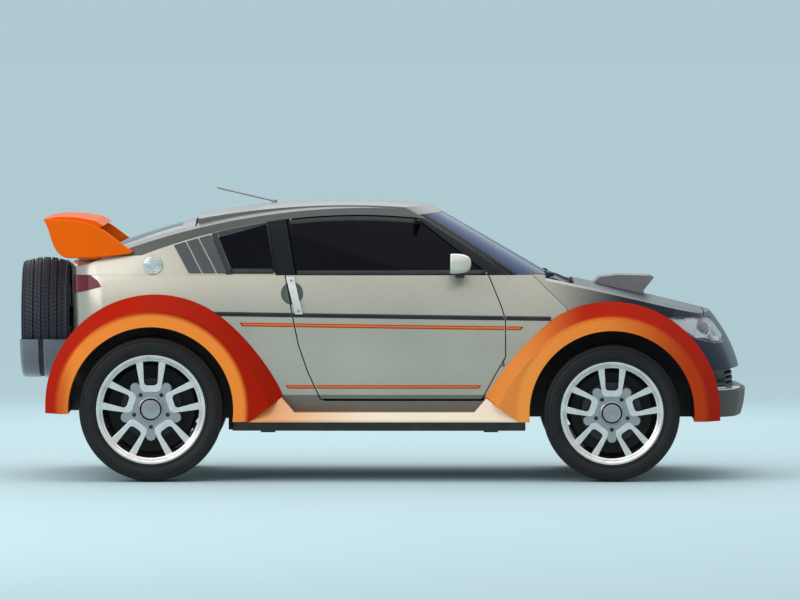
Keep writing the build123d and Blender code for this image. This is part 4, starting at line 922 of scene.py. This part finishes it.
# Door cards: panel, arm rest and pull
DOOR_CARD = ((-0.315, 0.505), (0.505, 0.505), (0.565, 1.07), (-0.45, 1.07))
ARM_Y = inner_y(door_skin, 0.05, 0.73)
PULL_Y = inner_y(door_skin, 0.4, 0.88)
pair(
    lambda: flank_patch(door_skin, DOOR_CARD, -0.008, 16, inner_y),
    "door_card", soft_trim, "trim_black", "door_{side}",
)
pair(
    lambda: rounded_box((-0.23, ARM_Y + 0.002, 0.69), (0.3, ARM_Y + 0.062, 0.746), 0.018, 4),
    "arm_rest", louvre_grey, "trim_black", "door_{side}",
)
pair(
    lambda: rounded_box((0.33, PULL_Y + 0.004, 0.865), (0.455, PULL_Y + 0.026, 0.892), 0.009),
    "door_pull", bright_metal, "rim_silver", "door_{side}",
)


# Lamps: clear skin over a bowl, with a pale panel behind its rear half and a round projector ahead
def lamp_faces(outer):
    """Faces of the right headlamp that look outwards, or all its others."""
    bm = solid("headlamps")
    bmesh.ops.remove_doubles(bm, verts=bm.verts, dist=1e-5)
    unwanted = [
        face for face in bm.faces if face.calc_center_median().y > 0 or (face.normal.y < -0.05) != outer
    ]
    bmesh.ops.delete(bm, geom=unwanted, context="FACES")
    return bm


def lamp_skin(depth):
    """Outer skin of the right headlamp, moved in along its normals."""
    bm = lamp_faces(True)
    bm.normal_update()
    for vert, move in [(vert, vert.normal * depth) for vert in bm.verts]:
        vert.co -= move
    return bm


def lamp_panel():
    return cut(lamp_skin(0.009), (1.735, 0, 0.84), (1.0, 0, -0.32))


# Columns: name, maker, finish, slot, thickness behind the face
LAMP_SHEETS = (
    ("headlamp_lens", lambda: lamp_skin(0.0005), lens_clear, "lamp_clear", 0.003),
    ("headlamp_bowl", lambda: lamp_faces(False), lamp_bowl, "rim_silver", 0.002),
    ("headlamp_panel", lamp_panel, lamp_pale, "rim_silver", 0.002),
)
for name, build, finish, slot, thickness in LAMP_SHEETS:
    for made in pair(build, name, finish, slot):
        shell = made.modifiers.new("thickness", "SOLIDIFY")
        shell.thickness = thickness
        shell.offset = -1.0
        if name == "headlamp_lens":
            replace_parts(made, "headlamps")
# Radius and height of the round lamps
LAMP_RING = (
    (0.03, -0.03), (0.044, -0.006), (0.045, 0.0), (0.0435, 0.004), (0.04, 0.002), (0.0375, -0.006),
    (0.03, -0.016), (0.03, -0.03),
)
LAMP_BALL = (
    (0.0005, 0.01), (0.012, 0.008), (0.022, 0.002), (0.03, -0.008), (0.033, -0.022), (0.0005, -0.024),
)
HEADLAMP = ((1.782, -0.6, 0.838), (0.62, -0.78, 0.06))
round_pair(LAMP_RING, *HEADLAMP, "projector_ring", chrome, "rim_silver")
round_pair(LAMP_BALL, *HEADLAMP, "projector_ball", dark_lens, "lamp_clear")


# Nose: trim of the lower intake, the grille's back, and fog lamps
nose_skin = skin_of("nose_panel", "front_fenders")
NOSE_CENTRE = (1.15, 0.0)
GRILLE_BROW_Z = 0.645


def nose_point(turn, z):
    """Point of the nose met by a level ray towards the nose's centre; turn 0 is straight ahead."""
    away = Vector((math.cos(turn), math.sin(turn), 0))
    centre = Vector((*NOSE_CENTRE, z))
    hit = nose_skin.ray_cast(centre + 2.0 * away, -away)[0]
    return (hit if hit else centre + 0.8 * away), away


def nose_band(turns, low, high, proud):
    """Crowned band round the nose between two heights."""
    def place(along, across):
        turn = turns[0] + (along + 0.5) * (turns[1] - turns[0])
        hit, away = nose_point(turn, low + (across + 0.5) * (high - low))
        return hit + away * crowned(across, proud)

    return sheet(60, 4, place, 0.003)


# Columns: name, turns, low, high, proud, finish, slot
INTAKE_DRESS = (
    ("intake_side", (-0.885, -0.655), 0.52, 0.614, 0.002, trim_black, "trim_black"),
    ("intake_trim", (-0.905, -0.4), 0.499, 0.519, 0.006, lamp_pale, "rim_silver"),
    ("intake_corner", (-0.912, -0.886), 0.504, 0.612, 0.005, lamp_pale, "rim_silver"),
)
for name, turns, low, high, proud, finish, slot in INTAKE_DRESS:
    pair(lambda: nose_band(turns, low, high, proud), name, finish, slot)


def grille_back():
    """Dark sheet behind the grille's bars."""
    def place(along, across):
        hit, away = nose_point(1.2 * along, GRILLE_BROW_Z)
        spot = hit - 0.095 * away
        return spot.x, spot.y, 0.568 + 0.096 * across

    return sheet(40, 2, place, 0.003)


piece(grille_back(), "grille_back", trim_black, "trim_black")
GRILLE_X = nose_point(0.0, GRILLE_BROW_Z)[0].x
piece(
    rounded_box((GRILLE_X - 0.094, -0.01, 0.522), (GRILLE_X - 0.043, 0.01, 0.614), 0.003),
    "grille_strut", trim_black, "trim_black",
)
fog_hit, fog_away = nose_point(-0.8, 0.632)
FOG_PLACE = Vector((fog_hit.x, fog_hit.y, 0.565)) - fog_away * 0.022
round_pair(LAMP_RING, FOG_PLACE, fog_away, "fog_lamp_ring", chrome, "rim_silver")
round_pair(LAMP_BALL, FOG_PLACE, fog_away, "fog_lamp_lens", dark_lens, "lamp_clear")

# Fuel cap rings and handle bolts: radius and height
CAP_RINGS = (
    (0.05, -0.002), (0.05, 0.004), (0.045, 0.006), (0.0415, 0.003), (0.0385, 0.003), (0.036, 0.007),
    (0.03, 0.008), (0.027, 0.005), (0.024, 0.005), (0.021, 0.009), (0.0005, 0.01),
)
BOLT = (
    (0.008, -0.003), (0.008, 0.0015), (0.0065, 0.003), (0.003, 0.003), (0.0025, 0.001), (0.0005, 0.001),
)
FUEL_CAP = (-1.277, -0.716, 1.194)
TO_RIGHT = (0, -1, 0)
piece(facing(turned_up(CAP_RINGS), FUEL_CAP, TO_RIGHT), "fuel_cap_rings", bright_metal, "rim_silver")
handle_skin = skin_of("door_handle_right")
for index, (x, z) in enumerate(((-0.508, 1.112), (-0.468, 0.946))):
    place = (x, flank_y(handle_skin, x, z), z)
    round_pair(BOLT, place, TO_RIGHT, f"handle_bolt_{index}", cap_grey, "dark_steel", "door_{side}", 20)


# Mirrors: a bell squared towards its dished back, on a foot, with the glass in the dish
MIRROR_PLACE = (0.372, -0.8955, 1.208)
MIRROR_HALF = (0.0895, 0.056)
# Columns: distance ahead of the back, share of the half size
MIRROR_BELL = [
    (0.0065, 0.001), (0.0065, 0.93), (0.001, 0.945), (0.0, 0.958), (0.002, 0.98), (0.008, 1.0),
    (0.03, 1.0), (0.055, 0.965), (0.075, 0.9), (0.092, 0.79), (0.104, 0.64), (0.112, 0.43),
    (0.1155, 0.2), (0.116, 0.001),
]


def mirror_head():
    bm = turned(MIRROR_BELL, 64, "X")
    for vert in bm.verts:
        angle = math.atan2(vert.co.z, vert.co.y)
        square = (abs(math.cos(angle)) ** 3 + abs(math.sin(angle)) ** 3) ** (-1 / 3)
        vert.co.y *= square * MIRROR_HALF[0]
        vert.co.z *= square * MIRROR_HALF[1]
    return moved(bm, MIRROR_PLACE)


heads = pair(mirror_head, "mirror_head", mirror_lit_silver, "body_silver", "door_{side}")
for (side, _), head in zip(SIDES, heads):
    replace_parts(head, f"door_mirror_{side}")
pair(
    lambda: rounded_box((0.398, -0.868, 1.128), (0.452, -0.79, 1.168), 0.01),
    "mirror_foot", trim_black, "trim_black", "door_{side}",
)


def plate(width, height, corner, thick):
    """Rounded plate about the origin, in the YZ plane, from x = 0 forward."""
    bm = bmesh.new()
    corners = [(-0.5, -0.5), (0.5, -0.5), (0.5, 0.5), (-0.5, 0.5)]
    face = bm.faces.new([bm.verts.new((0, y * width, z * height)) for y, z in corners])
    bmesh.ops.bevel(
        bm, geom=list(face.verts), offset=corner, segments=6, profile=0.5, affect="VERTICES", material=-1
    )
    extruded = bmesh.ops.extrude_face_region(bm, geom=bm.faces[:])["geom"]
    front = [item for item in extruded if isinstance(item, bmesh.types.BMVert)]
    bmesh.ops.translate(bm, vec=(thick, 0, 0), verts=front)
    return bm


pair(
    lambda: moved(plate(0.16, 0.093, 0.04, 0.0035), (0.3742, *MIRROR_PLACE[1:])),
    "mirror_glass", chrome, "dark_glass", "door_{side}",
)


# Wipers on the windscreen, and the cowl panel at its foot
screen_skin = skin_of("windscreen")
COWL_Z = 1.074
COWL_WIDTH = 1.206
COWL_FRONT_X = 1.044


def foot_line(y):
    """Plan line of the windscreen's foot."""
    return 1.035 - 0.64 * y * y


def blade_line(y):
    """Plan line on which the wiper blades lie."""
    return 0.96 - 0.62 * y * y


def screen_strip(path, width, lift, thick):
    """Strip laid on the windscreen along a plan path given as a function of 0 to 1."""
    def place(along, across):
        share = along + 0.5
        here, ahead = Vector(path(share)), Vector(path(share + 0.01))
        heading = (ahead - here).normalized()
        x, y = here + Vector((-heading.y, heading.x)) * across * width
        hit = screen_skin.ray_cast(Vector((x, y, 2.0)), Vector((0, 0, -1)))[0]
        if hit is None:
            hit = screen_skin.find_nearest(Vector((x, y, 1.1)))[0]
        return x, y, hit.z + lift

    return sheet(24, 2, place, thick)


def glass_foot(y):
    """Front of the windscreen just above the cowl shelf."""
    hit = screen_skin.ray_cast(Vector((1.4, y, COWL_Z)), Vector((-1, 0, 0)))[0]
    return hit.x if hit else foot_line(y)


def cowl_panel():
    """Plastic cover over the shelf between windscreen and bonnet, with raised ribs."""
    def place(along, across):
        y = along * COWL_WIDTH
        share = across + 0.5
        start = min(glass_foot(y) + 0.003, 1.038)
        bulge = math.sin(math.pi * share)
        rib = 0.003 * max(0.0, math.sin(y * 190.0)) * bulge
        return start + share * (COWL_FRONT_X - start), y, COWL_Z + 0.01 * bulge + rib

    return sheet(96, 8, place, 0.004)


piece(cowl_panel(), "cowl_panel", trim_black, "trim_black")


def blade_path(start_y, end_y):
    def path(share):
        y = start_y + share * (end_y - start_y)
        return blade_line(y), y

    return path


def straight(start, end):
    return lambda share: (start[0] + share * (end[0] - start[0]), start[1] + share * (end[1] - start[1]))


for name, start_y, end_y, pivot_y in (("right", -0.52, -0.06, 0.02), ("left", -0.02, 0.5, 0.56)):
    middle_y = (start_y + end_y) / 2
    arm_path = straight((foot_line(pivot_y), pivot_y), (blade_line(middle_y), middle_y))
    blade = screen_strip(blade_path(start_y, end_y), 0.01, 0.012, 0.01)
    piece(blade, f"wiper_blade_{name}", seal_rubber, "trim_black")
    arm = screen_strip(arm_path, 0.016, 0.026, 0.008)
    piece(arm, f"wiper_arm_{name}", trim_black, "trim_black")


# Seats: stitched, padded pieces in place of the plain solids
CUSHION_CROWN = 0.03
BOLSTER_HEIGHT = 0.03
STITCH_DEPTH = 0.01
SEAT_SHARP = 60.0


def cushion(low, high, lean, channels):
    """Padded block with crowned faces, side bolsters and stitched channels; lean shears it back."""
    bm = bmesh.new()
    bmesh.ops.create_cube(bm, size=2.0)
    bmesh.ops.subdivide_edges(bm, edges=bm.edges[:], cuts=11, use_grid_fill=True)
    half = [(b - a) / 2 for a, b in zip(low, high)]
    middle = [(a + b) / 2 for a, b in zip(low, high)]
    across = 1
    thin = min(range(3), key=lambda axis: half[axis])
    other = 3 - thin - across
    for vert in bm.verts:
        u = list(vert.co)
        edge = max(abs(u[across]), abs(u[other]))
        swell = (1.0 - u[across] ** 4) * (1.0 - u[other] ** 4)
        shrink = 1.0 - 0.1 * max(0.0, edge - 0.75) / 0.25 * (abs(u[thin]) ** 2)
        spot = [u[axis] * half[axis] for axis in range(3)]
        spot[across] *= shrink
        spot[other] *= shrink
        raise_by = CUSHION_CROWN * (swell - 1.0)
        if u[thin] > 0.99:
            raise_by += BOLSTER_HEIGHT * max(0.0, (abs(u[across]) - 0.55) / 0.45) * swell
            if channels and abs(u[across]) < 0.62:
                raise_by -= STITCH_DEPTH * math.cos(math.pi * channels * u[other]) ** 8
        spot[thin] += raise_by * (1.0 if u[thin] > 0 else -0.2) * abs(u[thin])
        vert.co = [a + b for a, b in zip(spot, middle)]
        vert.co.x -= lean * (vert.co.z - low[2])
    bmesh.ops.smooth_vert(bm, verts=bm.verts, factor=0.4, use_axis_x=True, use_axis_y=True, use_axis_z=True)
    return bm


def soften(made):
    made.modifiers.new("soft", "SUBSURF").levels = 1
    made.modifiers["soft"].render_levels = 1
    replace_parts(made, "seats")


# Columns: name, low corner, high corner, lean, channels
FRONT_SEAT = (
    ("seat_cushion", (-0.165, -0.595, 0.445), (0.335, -0.175, 0.578), 0.0, 3),
    ("seat_back", (-0.18, -0.595, 0.56), (-0.06, -0.175, 1.06), 0.27, 4),
    ("head_rest", (-0.175, -0.485, 1.095), (-0.095, -0.285, 1.235), 0.12, 0),
)
REAR_BENCH = (
    ("rear_cushion", (-0.69, -0.555, 0.43), (-0.405, 0.555, 0.556), 0.0, 3),
    ("rear_back", (-0.8, -0.555, 0.56), (-0.715, 0.555, 1.015), 0.06, 3),
)
for name, *form in FRONT_SEAT:
    for made in pair(lambda: cushion(*form), name, seat_cloth, "seat_cloth", sharp=SEAT_SHARP):
        soften(made)
for name, *form in REAR_BENCH:
    soften(piece(cushion(*form), name, seat_cloth, "seat_cloth", sharp=SEAT_SHARP))

# Seat frames, the dashboard's hood and screen, tails of the rear wheel arches, and the ribbed engine cover
# Columns: maker, name, finish, slot, low corner, high corner, edge radius, segments of the edge if not three
BOXES = [
    (pair, "seat_frame", soft_trim, "trim_black", (-0.15, -0.56, 0.342), (0.29, -0.21, 0.446), 0.012),
    (single, "bench_frame", soft_trim, "trim_black", (-0.826, -0.556, 0.342), (-0.42, 0.556, 0.432), 0.012),
    (single, "cluster_hood", soft_trim, "trim_black", (0.48, 0.19, 0.985), (0.64, 0.53, 1.06), 0.026, 4),
    (single, "centre_screen", dark_lens, "dark_glass", (0.47, -0.12, 0.905), (0.5, 0.13, 1.01), 0.01),
    (pair, "arch_wall", trim_black, "trim_black", (-1.738, -0.592, 0.384), (-1.6, -0.586, 0.6), 0.002),
    (pair, "arch_flap", trim_black, "trim_black", (-1.741, -0.8, 0.384), (-1.735, -0.586, 0.56), 0.002),
    (single, "engine_cover", soft_trim, "trim_black", (0.93, -0.29, 0.758), (1.42, 0.29, 0.802), 0.016),
]
for index in range(5):
    rib_y = -0.18 + 0.09 * index
    corners = (0.975, rib_y - 0.022, 0.8), (1.33, rib_y + 0.022, 0.812)
    BOXES.append((single, f"cover_rib_{index}", louvre_grey, "trim_black", *corners, 0.005))
for make, name, finish, slot, *form in BOXES:
    make(lambda: rounded_box(*form), name, finish, slot)
FILLER_CAP = (
    (0.034, -0.002), (0.034, 0.014), (0.03, 0.018), (0.026, 0.018), (0.024, 0.014), (0.0005, 0.014),
)
piece(moved(turned_up(FILLER_CAP), (1.38, -0.215, 0.802)), "filler_cap", cap_grey, "trim_black")

# Floor, light and camera
FLOOR_COLOUR = (0.52, 0.68, 0.72)
HORIZON_COLOUR = (0.436, 0.588, 0.638)
ZENITH_COLOUR = (0.8, 0.86, 0.88)
AIM = Vector((0.094, -0.85, 1.006))
VIEW_DISTANCE = 45.0
VIEW_ELEVATION = math.radians(1.8)
# What one pixel of the 800 by 600 photograph shows, in metres
PIXEL = 0.00553
FRAME_WIDTH = 800 * PIXEL
SENSOR_WIDTH = 36.0


def studio_floor():
    finish, tree, shader = new_material("studio_floor")
    shader.inputs["Roughness"].default_value = 0.85
    mottle = ramp(tree, noise(tree, object_place(tree), 0.8, 3.0), 0.3, 0.7, 0.0, 0.04)
    put(tree, mix_colours(tree, mottle, rgb(*FLOOR_COLOUR), rgb(0.7, 0.8, 0.82)), shader.inputs["Base Color"])
    bm = bmesh.new()
    bmesh.ops.create_grid(bm, x_segments=2, y_segments=2, size=900.0)
    floor = mesh_object(bm, "studio_floor", finish)


def softbox(name, place, aim, size, power):
    lamp = bpy.data.lights.new(name, "AREA")
    lamp.shape = "RECTANGLE"
    lamp.size, lamp.size_y = size
    lamp.energy = power
    made = new_object(name, lamp)
    made.location = place
    made.rotation_euler = (Vector(aim) - Vector(place)).to_track_quat("-Z", "Y").to_euler()


def studio_world():
    world = bpy.data.worlds.new("studio")
    world.use_nodes = True
    tree = world.node_tree
    direction = add_node(tree, "TexCoord").outputs["Generated"]
    height = add_node(tree, "SeparateXYZ", {0: direction}).outputs["Z"]
    tone = mix_colours(tree, ramp(tree, height, 0.02, 0.5), rgb(*HORIZON_COLOUR), rgb(*ZENITH_COLOUR))
    put(tree, tone, tree.nodes["Background"].inputs["Color"])
    bpy.context.scene.world = world


def studio_camera():
    lens = bpy.data.cameras.new("camera")
    lens.sensor_width = SENSOR_WIDTH
    lens.lens = SENSOR_WIDTH * VIEW_DISTANCE / FRAME_WIDTH
    lens.clip_end = 2000.0
    made = new_object("camera", lens)
    away = Vector((0, -math.cos(VIEW_ELEVATION), math.sin(VIEW_ELEVATION)))
    made.location = AIM + VIEW_DISTANCE * away
    made.rotation_euler = (-away).to_track_quat("-Z", "Y").to_euler()
    bpy.context.scene.camera = made


studio_floor()
studio_world()
softbox("overhead", (-0.5, -1.5, 6.5), (0.0, 0.0, 0.5), (9.0, 6.0), 90.0)
softbox("key", (-7.0, -7.0, 5.5), (-0.2, 0.0, 0.7), (8.0, 6.0), 330.0)
softbox("back", (0.0, 7.0, 5.0), (0.0, 0.0, 0.7), (8.0, 5.0), 120.0)
studio_camera()
bpy.context.scene.view_settings.view_transform = "Standard"
